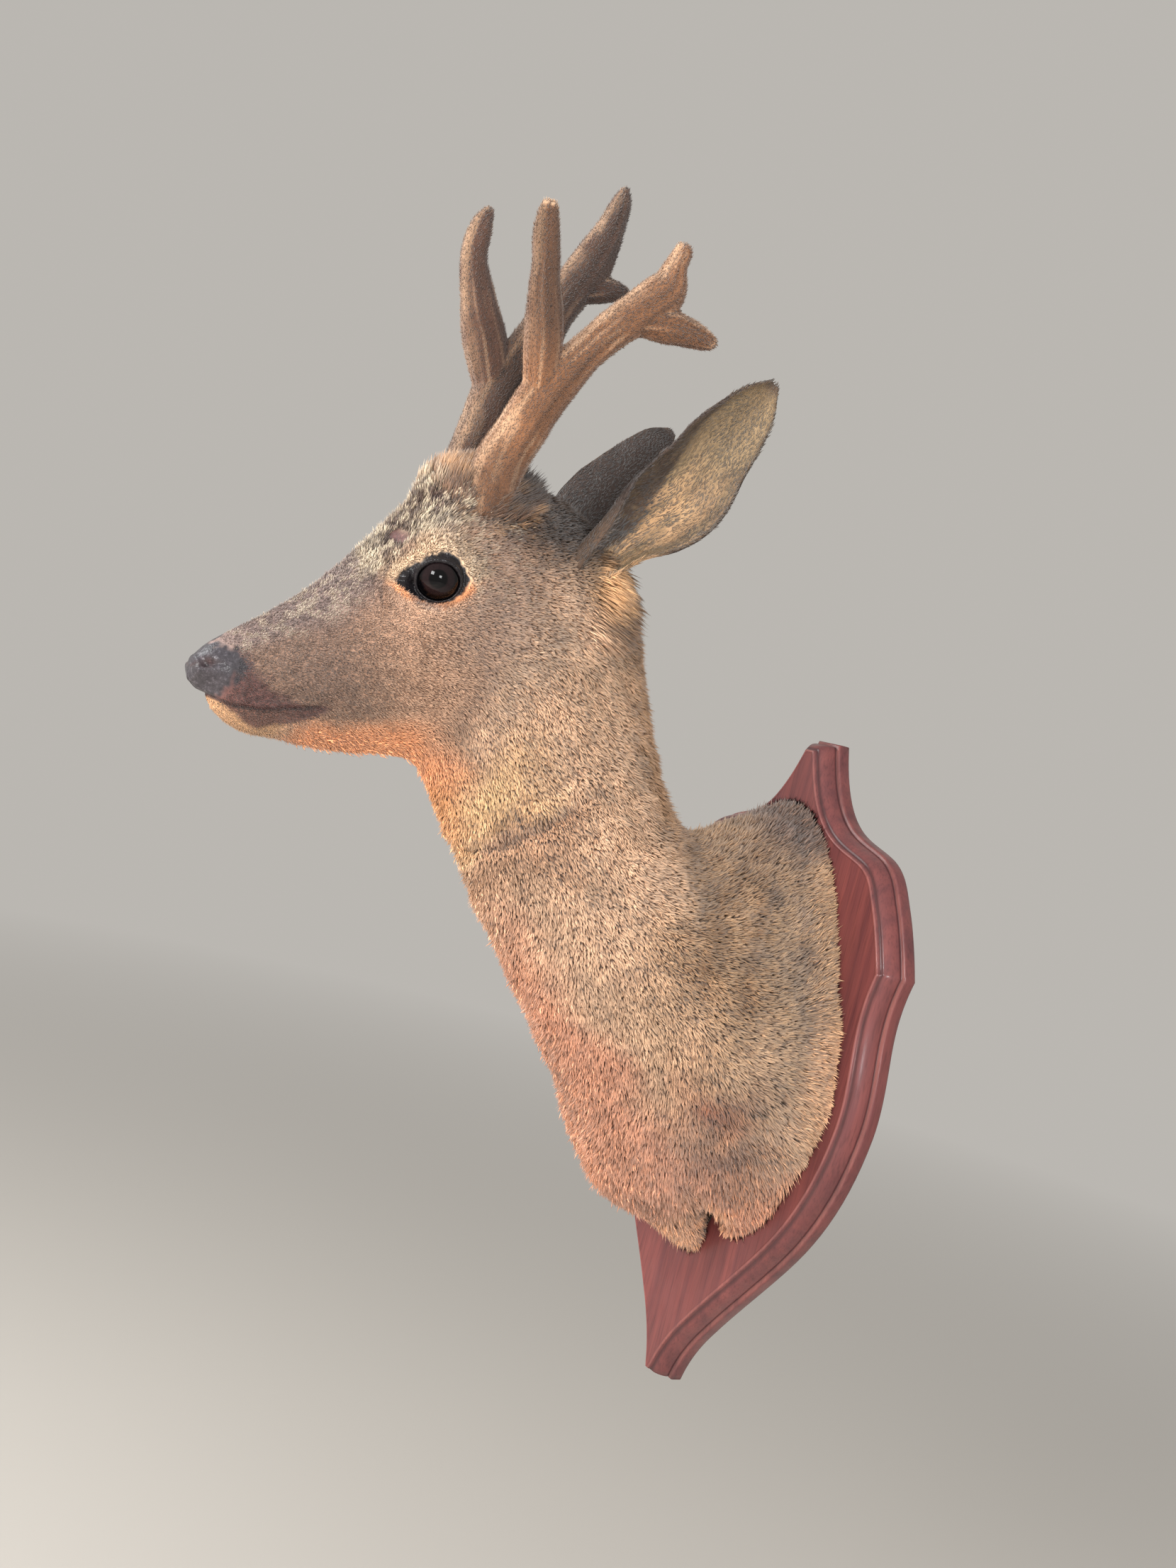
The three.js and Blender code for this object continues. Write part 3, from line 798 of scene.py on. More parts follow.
def skin_grid():
    """The skin: the body's outline moved inwards by the coat's depth, with swellings, lips, nostrils,
    lids and the torn corner of the cape. Gives the places, turns and points."""
    places, turns = skin_lines()
    place, turn = np.meshgrid(places, turns, indexing="ij")
    points = body_outline(place, turn)
    normal = body_normal(place, turn)
    points = points + normal * swollen(points)[..., None]
    normal = grid_normal(points)
    inwards = -np.interp(place, COAT_PLACES, COAT_DEPTHS) + mouth_groove(points, place)
    inwards += nostril_depth(points)
    inwards -= fall(points[..., 0], 1.1) * (place < 1.6) * step(-points[..., 2], -168, -150)
    inwards -= 12 * torn(points)
    fold = from_line(points[..., 1:], CAPE_FOLD)[0]
    inwards -= 3.5 * fall(fold, 3.2) * step(points[..., 0], 24, 34)
    fold, side = from_line(points[..., 1:], NECK_FOLD)
    inwards -= 2.4 * fall(fold, 3.0)
    inwards += 1.2 * fall(fold - 8, 6) * (side > 0)
    loose = cloud(points, 34)[..., 0] + 0.8 * cloud(points @ ASLANT, LOOSE_FOLD)[..., 2]
    inwards += np.clip(1.8 * loose - 0.6, -3.4, 0.6) * step(place, 12, 15)
    lumps = np.clip(cloud(points, 8)[..., 0], -1, 0.4)
    inwards += 2.4 * lumps * fall(span(folded(points) - PEDICLE), 28, 4)
    points = with_eyes(points + normal * inwards[..., None])
    points[..., 2] += drawn_up(points, place)
    return place, turn, points


# ---- markings --------------------------------------------------------------------------------

class Layers:
    """A coat's colours, each laid over the last with a soft share."""

    def __init__(self, colours, first, shape):
        self.colours = {name: linear(colour) for name, colour in colours.items()}
        self.colour = np.broadcast_to(self.colours[first], shape)

    def lay(self, name, share):
        """Lays one colour over what is there."""
        self.colour = mixed(self.colour, self.colours[name], np.clip(share, 0, 1))


# Soft spots on shoulder and chest: colour, share, centre and reach in s and u.
CHEST_SPOTS = [
    ("shoulder", 0.3, (16.6, 0.68), (1.0, 0.12)),
    ("shoulder", 0.25, (12.2, 0.45), (0.8, 0.12)),
    ("low_chest", 0.85, (18.05, 0.70), (0.55, 0.065)),
    ("low_mauve", 0.85, (19.0, 0.77), (0.75, 0.075)),
]


def spot(place, q, centre, reach):
    """A soft spot in place and q: e to minus the squared distances in reaches."""
    return np.exp(-((place - centre[0]) / reach[0]) ** 2 - ((q - centre[1]) / reach[1]) ** 2)


def markings(place, turn, points, colours):
    """The coat's colours and how bare it is. Shares are products of soft steps and spots in s, which
    counts sections, and u, from 0 on top to 1 below, both made uneven by noise."""
    q = (1 - np.cos(turn)) / 2
    rough = cloud(points, 24)
    fine = cloud(points, 7)
    s = place + 0.35 * rough[..., 0]
    u = q + 0.05 * rough[..., 1]
    layers = Layers(colours, "neck_side", points.shape)
    lay = layers.lay
    lay("shoulder", step(s, 15.0, 16.4) * (1 - 0.8 * step(u, 0.4, 0.82)))
    lay("nape", step(s, 10, 11.5) * drop(u, 0.08, 0.34) * (1 - 0.5 * step(s, 15, 17)))
    lay("cheek", drop(s, 9.2, 10.6))
    lay("throat", step(s, 10.6, 11.6) * step(u, 0.58, 0.74) * drop(s, 12.75, 13.0))
    # Orange on the front of the throat: partly the hair's colour, partly painted warm bounce light from
    # below.
    lay("throat_front", step(s, 9.8, 10.6) * step(u, 0.87, 0.96) * drop(s, 11.6, 12.8))
    lay("throat_pale", 0.75 * spot(s, u, (11.95, 0.84), (0.55, 0.09)))
    # Painted shade along a crease of the neck.
    crease = s - 12.66 - 1.4 * (0.949 - u)
    lay("shoulder_fold", 0.5 * fall(crease, 0.11) * step(u, 0.42, 0.6))
    # Painted shade on a fold of the neck.
    lay("neck_fold", 0.6 * step(s, 12.85, 13.05) * drop(s, 13.4, 14.3) * step(u, 0.5, 0.66))
    # Painted shade along the folds of the shoulder.
    for fold in SHOULDER_SHADE_LINES:
        far = from_line(np.stack([s, 10 * u], -1), fold)[0]
        lay("shoulder_fold", 0.45 * fall(far + 0.15 * fine[..., 0], 0.3))
    # Rusty hair on the chest's front and underside, with painted warm bounce light from below in it.
    start = 0.97 - 0.035 * (s - 14)
    lay("chest_rust", step(s, 13.2, 15.0) * step(u, start - 0.1, start + 0.05))
    for name, share, centre, reach in CHEST_SPOTS:
        lay(name, share * spot(s, u, centre, reach))
    lay("cape_edge", 0.85 * step(s, 18.8, 19.5) * step(u, 0.34, 0.42) * drop(u, 0.56, 0.68))
    lay("cape_edge", 0.6 * step(s, 19.0, 19.6) * step(u, 0.84, 0.9))
    lay("cape_top", 0.4 * spot(s, u, (19.3, 0.30), (0.4, 0.05)))
    lay("cape_top", 0.85 * step(s, 16.9, 19.0) * drop(u, 0.03, 0.13))

    lay("crown", 0.95 * step(s, 8.9, 9.6) * drop(s, 11.3, 12.6) * drop(u, 0.13, 0.3))
    lay("muzzle_side", drop(s, 4.2, 7.6) * drop(u, 0.78, 0.9))
    lay("muzzle_top", drop(s, 5.2, 6.0) * drop(u, 0.14, 0.34))
    lay("forehead", step(s, 5.0, 5.8) * drop(s, 8.6, 9.4) * drop(u, 0.08, 0.2))
    flecks = step(fine[..., 0] + 0.5 * rough[..., 2], -0.3, 0.6)
    lay("forehead_pale", 0.5 * flecks * step(s, 4.6, 5.4) * drop(s, 7.4, 8.6) * drop(u, 0.1, 0.2))
    # Orange under the jaw: partly the hair's colour, partly painted warm bounce light from below.
    lay("jaw", step(s, 3.9, 4.6) * drop(s, 9.6, 11.4) * step(u - 0.04 * step(s, 6, 9), 0.82, 0.9))
    aside = np.abs(points[..., 0])
    pedicle = span(folded(points) - PEDICLE)
    lay("crown", 0.9 * fall(pedicle, 34, 6) * step(points[..., 1] + 5 * fine[..., 1], -296, -284))
    # Painted shade under the roll of hair round each antler's base.
    lay("shoulder_fold", 0.6 * fall(pedicle + 4 * fine[..., 1], 34, 6)
        * step(aside, 12, 22) * drop(points[..., 2], 284, 294))
    lay("ear_root", 0.35 * fall(pedicle, 36, 6) * step(cloud(points * [1, 0.4, 1], 3)[..., 1], 0.1, 0.4)
        * step(aside, 12, 22))
    ahead = step(points[..., 2] + 3 * fine[..., 1], 283, 292) * drop(points[..., 1], -300, -282)
    lay("forelock", ahead * fall(pedicle + 6 * fine[..., 0], 25, 4))
    lay("crown", 0.75 * fall(pedicle - 20, 6) * step(points[..., 1], -322, -304))
    for sign in (1, -1):
        for root, squash, reach, ragged, share in EAR_ROOTS:
            far = span((points - np.array(root) * [sign, 1, 1]) * squash) / reach
            lay("ear_root", share * fall(far + (fine * ragged).sum(-1), 1, 4))

    front, up, out = eye_place(points)
    near = (out > RING_BEHIND) & (np.hypot(front, up) < RING_REGION)
    beyond = lid_share(front, up)
    top = step(up, -6, 3)
    width = 2.6 + 7.6 * top
    ring = near * drop(beyond + 1.6 * fine[..., 2], width * 0.5, width * 1.4)
    lay("eye_ring_low", ring * (1 - top))
    lay("eye_ring_top", ring * top)
    crease = from_line(np.stack([front, up], -1), CREASE)[0]
    # Painted shade along the crease before the eye.
    lay("muzzle_side", 0.8 * near * fall(crease, 1.5))
    bald = span((points - [15, -340, 251]) * [0.6, 0.8, 1]) + 1.2 * fine[..., 1]
    lay("bald_spot", fall(bald, 7.5, 4))
    patch = span((points - [13, -324, 274]) * [0.6, 1, 1])
    lay("bald_spot", 0.75 * fall(patch, 5.5, 4))

    distance, side = from_line(points[..., 1:], MOUTH_LINE)
    lower = (side < 0) & (place < 6)
    face_front = place < 5.6
    lay("chin", face_front * lower * drop(s, 3.5, 4.3))
    reach = np.interp(place, [1.8, 2.5, 3.2, 4, 4.9], [0, 4.5, 10, 8.5, 3])
    patch = lower * drop(distance + fine[..., 0], reach - 1.5, reach + 1.5)
    lay("lips", 0.9 * patch * step(place, 1.8, 2.3) * drop(place, 4.7, 5.1))
    ragged = place + 0.25 * fine[..., 1] + 0.3 * cloud(points, 2.5)[..., 0]
    lip_rear = np.interp(q, [0.22, 0.42, 0.57, 0.71, 0.77, 0.85], [1.9, 2.5, 3.0, 3.8, 4.5, 4.8])
    lips = face_front * (1 - lower) * drop(ragged, lip_rear - 0.35, lip_rear + 0.3)
    lips = lips * step(q, 0.17, 0.26)
    lay("lips", lips)
    nose_rear = np.interp(q, [0, 0.1, 0.22, 0.42, 0.66, 0.8], [1.2, 1.35, 1.8, 2.2, 2.0, 1.6])
    nose = drop(ragged, nose_rear - 0.2, nose_rear + 0.3) * (1 - lower)
    lay("nose", nose)
    # Dark lip edge along the mouth line, with painted shade in its slit, and painted shade in the
    # nostrils' pits.
    lay("lip_edge", face_front * fall(distance, 0.9) * (points[..., 1] < -354))
    lay("lip_edge", fall(span((folded(points) - NOSTRIL) * [0.8, 0.7, 1]), 2.6))
    lids = near * drop(beyond + 1.1 * cloud(points, 2.6)[..., 0], -0.5, 0.7)
    lay("lids", lids)
    # The tear's hole painted near black: painted shade.
    tear = torn(body_outline(place, turn))
    lay("tear", tear)
    bare = np.clip(lids + nose * drop(place, 1.5, 2.1) + 0.2 * lips + tear
                   + 0.9 * fall(bald, 5.2, 4), 0, 1)
    return layers.colour, bare


# ---- ears ------------------------------------------------------------------------------------

def ear_shell(side, rows=64, steps=EAR_STEPS):
    """A cup: at each height an arc of the row's radius and half angle about a hub set back from the
    opening's middle, and inside it an arc less the wall. Gives the rings, and their places: across from
    -1 to 1, height from 0 to 1, and 1 on the inner face."""
    table = EARS[side]
    sign = 1 if side == "left" else -1
    height = np.linspace(0, len(table) - 1, rows)
    row = carried(table, height)
    axis = unit(np.gradient(row[:, :3], axis=0))
    opens = np.array([sign, 0.08, 0])
    opens = unit(opens - axis * (axis @ opens)[:, None])
    across = np.cross(axis, opens)
    radius, half = row[:, 3:4] - EAR_COAT, row[:, 4:5]
    hub = row[:, :3] + opens * row[:, 3:4] * np.cos(half)
    reach = np.linspace(-1, 1, steps)[None, :]

    def arc(radii, share):
        t = half * share * reach
        return (hub[:, None] - opens[:, None] * (radii * np.cos(t))[..., None]
                + across[:, None] * (radii * np.sin(t))[..., None])

    thick = np.minimum(EAR_WALL, 0.4 * radius)
    ridge = 1.1 * np.sin(reach * 9) * fall(height[:, None] - 2.6, 1.4)
    outer = arc(radius, 1)
    inner = arc(radius - thick - np.clip(ridge, -0.6, 1.1), 0.965)[:, ::-1]
    rings = np.concatenate([outer, inner], axis=1)
    share = np.concatenate([reach, reach[:, ::-1]], axis=1) * np.ones((rows, 1))
    tall = height[:, None] / (len(table) - 1) * np.ones((1, 2 * steps))
    face = np.concatenate([np.zeros(steps), np.ones(steps)])[None, :] * np.ones((rows, 1))
    return rings, share, tall, face


def ear_markings(side, share, tall, inside, points, colours):
    """Ear colours: dark back, olive inside with pale swirls and strands, a darker low rear, painted
    shade for a slit at the root, the back's colour folded over the upper edge, and a dark rim."""
    rough = cloud(points, 12)
    layers = Layers(colours, "ear_back", points.shape)
    lay = layers.lay
    upper = -share if side == "left" else share
    lay("ear_root", (0.05 + 0.75 * step(-upper, -0.1, 0.4)) * (1 - inside) * drop(tall, 0.1, 0.24))
    lay("ear_inside", inside)
    swirl = cloud(np.stack([share * 9 + 2 * tall, tall * 12, inside], -1), 3)[..., 1]
    lay("ear_inside_pale", 0.55 * inside * step(swirl, -0.3, 0.5))
    strands = cloud(np.stack([share * 26, tall * 16, inside], -1), 2.5)[..., 2]
    strands = strands - 0.8 * np.abs(upper + 0.35)
    lay("ear_root", 0.45 * inside * step(strands, -0.6, 0.1) * drop(tall, 0.3, 0.62))
    lay("ear_rim", 0.45 * inside * step(-upper + 0.2 * rough[..., 2], 0.1, 0.7) * step(tall, 0.14, 0.26)
        * drop(tall, 0.42, 0.6))
    # Painted shade in the deep slit at the ear's root.
    lay("ear_deep", 0.45 * inside * fall(upper - 0.05 - 0.1 * rough[..., 0], 0.17)
        * step(tall, 0.1, 0.18) * drop(tall, 0.33, 0.42))
    lay("ear_rim", 0.35 * inside * step(rough[..., 1] - upper, 0.7, 1.2) * step(tall, 0.2, 0.5))
    fold = 1.1 * step(tall, 0.1, 0.85) - 0.25
    band = inside * step(upper + 0.08 * rough[..., 2], fold, fold + 0.1) * drop(tall, 0.6, 0.8)
    lay("ear_back", 0.9 * band)
    lay("ear_inside", 0.4 * band * step(cloud(points, 3)[..., 0], 0.1, 0.4))
    rim = step(np.abs(share), 0.9, 0.99) * (0.5 + 0.5 * step(upper, -0.2, 0.4)) * step(tall, 0.3, 0.55)
    lay("ear_rim", 0.8 * np.maximum(rim, step(tall + 0.02 * rough[..., 1], 0.93, 0.985)))
    return layers.colour


# ---- tufts -----------------------------------------------------------------------------------

# A leaf's waist and the height of its roof as shares of its length and half width; how far a tuft's
# foot is sunk; the joint of a long tuft; and the side of its patch on the unwrap.
LEAF_WAIST = 0.58
LEAF_ROOF = 0.35
LEAF_FACES = ([0, 1, 3], [0, 3, 2], [0, 2, 1], [3, 1, 2])
FOOT_SUNK = 0.5
JOINT_ALONG, JOINT_LIFT, JOINT_FOOT = 0.46, 0.72, 0.7
PATCH = 0.003


def tufts(root, along, up, length, rise, radius, jointed):
    """Closed tufts. Short ones are leaves of four faces, from a point under the skin through two side
    corners at LEAF_WAIST of their length to a tip lifted by rise. Long ones are three-sided: a ring of
    three points at the root, a second nearly halfway along and lifted, and a tip. Gives points, quads,
    triangles, how far along each point is, its side of the tuft's patch, and the points of one tuft."""
    across = unit(np.cross(up, along))
    stand = np.cross(along, across)
    count = len(root)
    foot = root - up * FOOT_SUNK
    run, lift = length[:, None], rise[:, None]
    tip = root + along * run + up * lift
    if not jointed:
        waist = foot + LEAF_WAIST * (tip - foot) - up * (LEAF_ROOF * radius[:, None])
        side = across * radius[:, None]
        points = np.stack([foot, waist - side, waist + side, tip], axis=1).reshape(-1, 3)
        base = (np.arange(count) * 4)[:, None]
        triangles = np.concatenate([base + face for face in LEAF_FACES])
        far = np.tile([0, LEAF_WAIST, LEAF_WAIST, 1.0], count)
        return points, np.zeros((0, 4), int), triangles, far, np.tile([0.5, 0, 1, 0.5], count), 4
    turns = np.array([np.pi / 2, np.pi * 7 / 6, np.pi * 11 / 6])

    def ring(centre, reach):
        """Three points about a centre."""
        return (centre[:, None] + across[:, None] * (reach[:, None] * np.cos(turns))[..., None]
                + stand[:, None] * (reach[:, None] * np.sin(turns))[..., None])

    joint = root + along * run * JOINT_ALONG + up * lift * JOINT_LIFT
    points = [ring(foot, radius * JOINT_FOOT), ring(joint, radius), tip[:, None]]
    points = np.concatenate(points, axis=1)
    base = (np.arange(count) * 7)[:, None]
    quads = np.concatenate([base + [i, (i + 1) % 3, 3 + (i + 1) % 3, 3 + i] for i in range(3)])
    triangles = [base + [3 + i, 3 + (i + 1) % 3, 6] for i in range(3)] + [base + [0, 2, 1]]
    triangles = np.concatenate(triangles)
    far = np.tile([0, 0, 0, 0.5, 0.5, 0.5, 1.0], count)
    return points.reshape(-1, 3), quads, triangles, far, np.tile([0, 0.5, 1, 0, 0.5, 1, 0.5], count), 7


def tuft_piece(name, root, along, up, length, rise, radius, colour, tone, unwrap, slot, finish,
               jointed=False, limit=None):
    """One coat piece: its tufts, their colour, tone and run from root to tip, and a small patch for each
    at its root's place on the skin's unwrap."""
    points, quads, triangles, far, side, per = tufts(root, along, up, length, rise, radius, jointed)
    if limit is not None:
        points[:, 1] = np.minimum(points[:, 1], limit)
    patch = np.stack([side - 0.5, far - 0.5], -1) * PATCH
    spread = np.repeat(unwrap, per, axis=0) + patch
    new_piece(name, points, quads, triangles, slot, finish, {"OFBake": np.clip(spread, 0, 1)}, {
        "marking": np.repeat(colour, per, axis=0), "along": far, "tone": np.repeat(tone, per)})


def tuft_pieces(name, pieces, place, fields, **settings):
    """Several coat pieces, parted by place along the spine."""
    order = np.argsort(place, kind="stable")
    for number, part in enumerate(np.array_split(order, pieces)):
        tuft_piece(f"{name}_{number + 1}", *(field[part] for field in fields), **settings)


def tuft_count(count):
    return count


def picked(random, area, count):
    """Cells or faces for the roots: evenly spaced steps through the running total of their areas."""
    total = np.cumsum(area.ravel())
    found = np.searchsorted(total, (np.arange(count) + random.random(count)) / count * total[-1])
    return np.minimum(found, area.size - 1)


class Roots:
    """Roots spread over a grid's cells by area times share, each at a random place in its cell."""

    def __init__(self, seed, points, share, count):
        self.random = np.random.default_rng(seed)
        self.count = count = tuft_count(count)
        down, over = points[1:] - points[:-1], np.roll(points, -1, axis=1)[:-1] - points[:-1]
        area = span(np.cross(down, over)) * share[:-1]
        self.row, self.column = np.unravel_index(picked(self.random, area, count), area.shape)
        self.down, self.over = self.random.random(count), self.random.random(count)

    def read(self, field):
        """A grid's field at the roots: mixed along the row, then across to the next."""
        i, j, n = self.row, self.column, (self.column + 1) % field.shape[1]
        a, b = (v[:, None] if field.ndim == 3 else v for v in (self.down, self.over))
        return ((field[i, j] * (1 - b) + field[i, n] * b) * (1 - a)
                + (field[i + 1, j] * (1 - b) + field[i + 1, n] * b) * a)

    def stand(self, points, normal, along):
        """The roots' points, the ways up from them and the lie of the hair there."""
        return self.read(points), unit(self.read(normal)), self.read(along)

    def vary(self, low, high):
        """A random number for each root."""
        return self.random.uniform(low, high, self.count)

    def unwrap(self, turn, place):
        """The roots' shares of a full turn and of the spine; the last column runs on to a whole turn."""
        n = (self.column + 1) % turn.shape[1]
        after = np.where(n == 0, 2 * np.pi, turn[0, n])
        across = (turn[0, self.column] * (1 - self.over) + after * self.over) / (2 * np.pi)
        return np.stack([across, self.read(place) / LAST_SECTION], -1)


def combed(points, normal, along, bend, size):
    """The lie of the coat turned about the skin's normal by smooth noise, so that locks drift."""
    drift = cloud(points, size)[..., 0] * bend + cloud(points + 300, size * 0.3)[..., 1] * bend * 0.7
    across = np.cross(normal, along)
    return unit(along * np.cos(drift)[..., None] + across * np.sin(drift)[..., None])


# Length of the hair by place along the spine.
HAIR_PLACES = [0, 2, 4, 6.5, 8.2, 9, 10, 12, 14, 17, 19, 20]
HAIR_LENGTHS = [1.2, 1.8, 2.5, 2.8, 3.4, 3.7, 4.1, 4.6, 4.9, 5.4, 6.2, 6.6]


class Coat:
    """Grids of what the tufts need: places, turns, points, normals, lie, length, depth and colours."""

    def __init__(self):
        self.place, self.turn, self.points = place, turn, points = skin_grid()
        self.normal = normal = grid_normal(points)
        self.colour, self.bare = markings(place, turn, points, palette())
        self.q = q = (1 - np.cos(turn)) / 2
        along = unit(np.gradient(points, axis=0))
        low = step(place, 15.5, 18) * step(q, 0.55, 0.85)
        along = along + np.array([0, 0.1, -1.0]) * (0.9 * low)[..., None]
        swirl = spot(place, q, (19.3, 0.29), (0.7, 0.1))
        along = along + np.cross(normal, along) * (1.3 * swirl)[..., None]
        along = combed(points, normal, unit(laid_flat(along, normal)), bend=0.32, size=30)
        edge = step(place, 19.0, 20)
        self.along = unit(along + normal * (0.45 * edge)[..., None])
        self.depth = np.interp(place, COAT_PLACES, COAT_DEPTHS)
        length = np.interp(place, HAIR_PLACES, HAIR_LENGTHS)
        length = length * (1 + 0.35 * step(place, 3.6, 4.6) * step(q, 0.86, 0.95) * drop(place, 8, 10))
        front, up, out = eye_place(points)
        around = (out > RING_BEHIND) * drop(lid_share(front, up), 2, 12)
        hole = span(body_outline(place, turn) - (HOLE + TEAR_END) / 2)
        self.length = length * (1 - 0.45 * around) * (1 - 0.72 * fall(hole, 17, 4))

    def roots(self, seed, share, count):
        """Roots over the body, with their points, ways up and lie."""
        roots = Roots(seed, self.points, share, count)
        return roots, *roots.stand(self.points, self.normal, self.along)

    def bands(self, fine, wide):
        """Noise in bars across the lie of the coat: read at the distance down the body over one size and
        the distance round it over a wider one."""
        down = np.cumsum(span(np.gradient(self.points, axis=0)), axis=0).mean(1, keepdims=True)
        girth = span(np.roll(self.points, -1, axis=1) - self.points).sum(1, keepdims=True)
        round_it = self.turn / (2 * np.pi) * girth / wide
        return np.stack([down / fine + 0 * self.turn, round_it, 0.3 * self.place], -1)


# ---- antlers ---------------------------------------------------------------------------------

def antler_tube(table, rows=40, sides=24):
    """Rings about the centre line carried through the table's rows: half depth along fore, half
    thickness along across, drawn in to a round tip over the last ring places."""
    place = np.linspace(0, len(table) - 1, rows)
    row = carried(table, place)
    axis = unit(np.gradient(row[:, :3], axis=0))
    fore = unit(np.cross(np.array([1.0, 0, 0]), axis))
    across = np.cross(axis, fore)
    turn = np.linspace(0, 2 * np.pi, sides, endpoint=False)
    rings = (row[:, None, :3] + fore[:, None] * (row[:, 3:4] * np.cos(turn))[..., None]
             + across[:, None] * (row[:, 4:5] * np.sin(turn))[..., None])
    tip = []
    for share in (0.35, 0.7, 0.92):
        shrink = np.sqrt(1 - share ** 2)
        end = row[-1, :3] + (rings[-1] - row[-1, :3]) * shrink
        tip.append(end + axis[-1] * row[-1, 4] * 0.55 * share)
    return np.concatenate([rings, np.array(tip)]), row, axis, fore, across


def streaks(lie, fine=3.0, long=8.0):
    """Noise drawn out along an antler: read at the turn about the centre line and, many times less
    closely, at the way along it."""
    _, tube, share, turn = lie
    run = share * np.array(TUBE_LENGTHS)[tube.astype(int)]
    wound = np.stack([12 * np.cos(turn), 12 * np.sin(turn), run / long + 40 * tube], -1)
    return cloud(wound, fine)[..., 0]


def antler_mesh(side):
    """The three tubes joined as one skin by a fine voxel remesh, smoothed, and let out along its normals
    by two sizes of noise."""
    parts = []
    for table in ANTLERS[side].values():
        inner = table.copy()
        inner[:, 3:] -= VELVET_DEPTH
        parts.append(closed_tube(antler_tube(inner)[0]))
    points, quads, triangles = joined(parts)
    rough = new_piece(f"rough_{side}", points, quads, triangles, "antler_velvet", None)
    remesh = rough.modifiers.new("Joined", "REMESH")
    remesh.mode = "VOXEL"
    remesh.voxel_size = VELVET_VOXEL * MM
    remesh.use_smooth_shade = True
    smooth = rough.modifiers.new("Smoothed", "SMOOTH")
    smooth.iterations = 7
    smooth.factor = 0.6
    bpy.context.view_layer.update()
    ready = bpy.data.meshes.new_from_object(rough.evaluated_get(bpy.context.evaluated_depsgraph_get()))
    bpy.data.objects.remove(rough)
    co, no = (np.zeros(len(ready.vertices) * 3, np.float32) for _ in range(2))
    ready.vertices.foreach_get("co", co)
    ready.vertex_normals.foreach_get("vector", no)
    co, no = co.reshape(-1, 3).astype(float) / MM, no.reshape(-1, 3).astype(float)
    knobs = drop(co[:, 2], 292, 345)
    swell = 0.6 * cloud(co, 12)[:, 0] + (0.1 + 0.5 * knobs) * cloud(co + 90, 4.2)[:, 1]
    swell += 1.0 * streaks(antler_places(side, co), fine=4.0)
    co += no * swell[:, None]
    ready.vertices.foreach_set("co", (co * MM).astype(np.float32).ravel())
    ready.update()
    return ready, co, no


def antler_lines(side):
    """The centre lines' points: place and thickness, axis, fore, across, tube and share of length."""
    rows = []
    for number, table in enumerate(ANTLERS[side].values()):
        _, row, axis, fore, across = antler_tube(table, rows=LINE_ROWS)
        share = np.linspace(0, 1, LINE_ROWS)[:, None]
        tube = np.full_like(share, number)
        rows.append(np.concatenate([row, axis, fore, across, tube, share], axis=1))
    return np.concatenate(rows)


def antler_places(side, points):
    """For each point: the nearest centre line's axis, its tube, share of length and turn about it."""
    lines = antler_lines(side)
    best = np.zeros(len(points), int)
    for start in range(0, len(points), POINTS_AT_ONCE):
        part = slice(start, start + POINTS_AT_ONCE)
        best[part] = (span(points[part, None] - lines[None, :, :3]) / lines[None, :, 3]).argmin(1)
    near = lines[best]
    off = points - near[:, :3]
    turn = np.arctan2((off * near[:, 11:14]).sum(1), (off * near[:, 8:11]).sum(1))
    return near[:, 5:8], near[:, 14], near[:, 15], turn


def velvet_colour(side, points, lie, colours):
    """The velvet: its own brown, paler in streaks and at the worn tips, with a painted highlight along
    the front edge, and darker in patches, with painted shade at the base and in the shade of the front
    tine or the back of the right trunk."""
    _, tube, share, turn = lie
    layers = Layers(colours, f"{side}_velvet", points.shape)
    lay = layers.lay
    left = side == "left"
    rough = cloud(points, 11)
    pale = 0.3 if left else 0.2
    # Pale streaks favour the front side, and the front edge gets a painted highlight.
    line = streaks(lie, fine=2.6) + 0.5 * step(np.cos(turn), 0.0, 0.9) - 0.25
    lay("velvet_tip", pale * step(np.cos(turn), 0.5, 0.98) * step(rough[:, 0], -0.8, 0.5))
    lay("velvet_tip", 1.2 * pale * step(line, 0.1, 0.5))
    lay("crown", 0.22 * step(-line, 0.1, 0.5))
    worn = np.array((0.3, 0.9, 0.35) if left else (0.1, 0.15, 0.1))
    lay("velvet_tip", worn[tube.astype(int)] * step(share + 0.05 * rough[:, 1], 0.95, 1.0))
    dark = (0.1 if left else 0.25) * step(rough[:, 2], -0.2, 0.9)
    # Painted shade at the base of the antler.
    dark = dark + 0.45 * drop(points[:, 2], 290, 326)
    # Painted shade on the left front tine, and on the back of the right trunk.
    if left:
        dark = dark + 0.62 * (tube == 1) * step(share, 0.0, 0.3) * (1 - 0.7 * step(share, 0.8, 1.0))
    else:
        dark = dark + 0.5 * (tube == 0) * drop(np.cos(turn), 0.55, 0.97)
    lay("crown", dark)
    return layers.colour


# ---- shield ----------------------------------------------------------------------------------

def shield_outline(steps=12):
    """Half outline through the joined curves, each the sum of (1 - t) cubed times its start, 3 t times
    (1 - t) squared and 3 t squared times (1 - t) times its two handles, and t cubed times its end."""
    t = np.arange(1, steps + 1)[:, None] / steps
    points, a = [np.array([SHIELD_START], float)], np.array(SHIELD_START, float)
    for b, c, d in SHIELD_CURVES:
        b, c, d = np.array(b, float), np.array(c, float), np.array(d, float)
        points.append((1 - t) ** 3 * a + 3 * t * (1 - t) ** 2 * b
                      + 3 * t * t * (1 - t) * c + t ** 3 * d)
        a = d
    return np.concatenate(points)


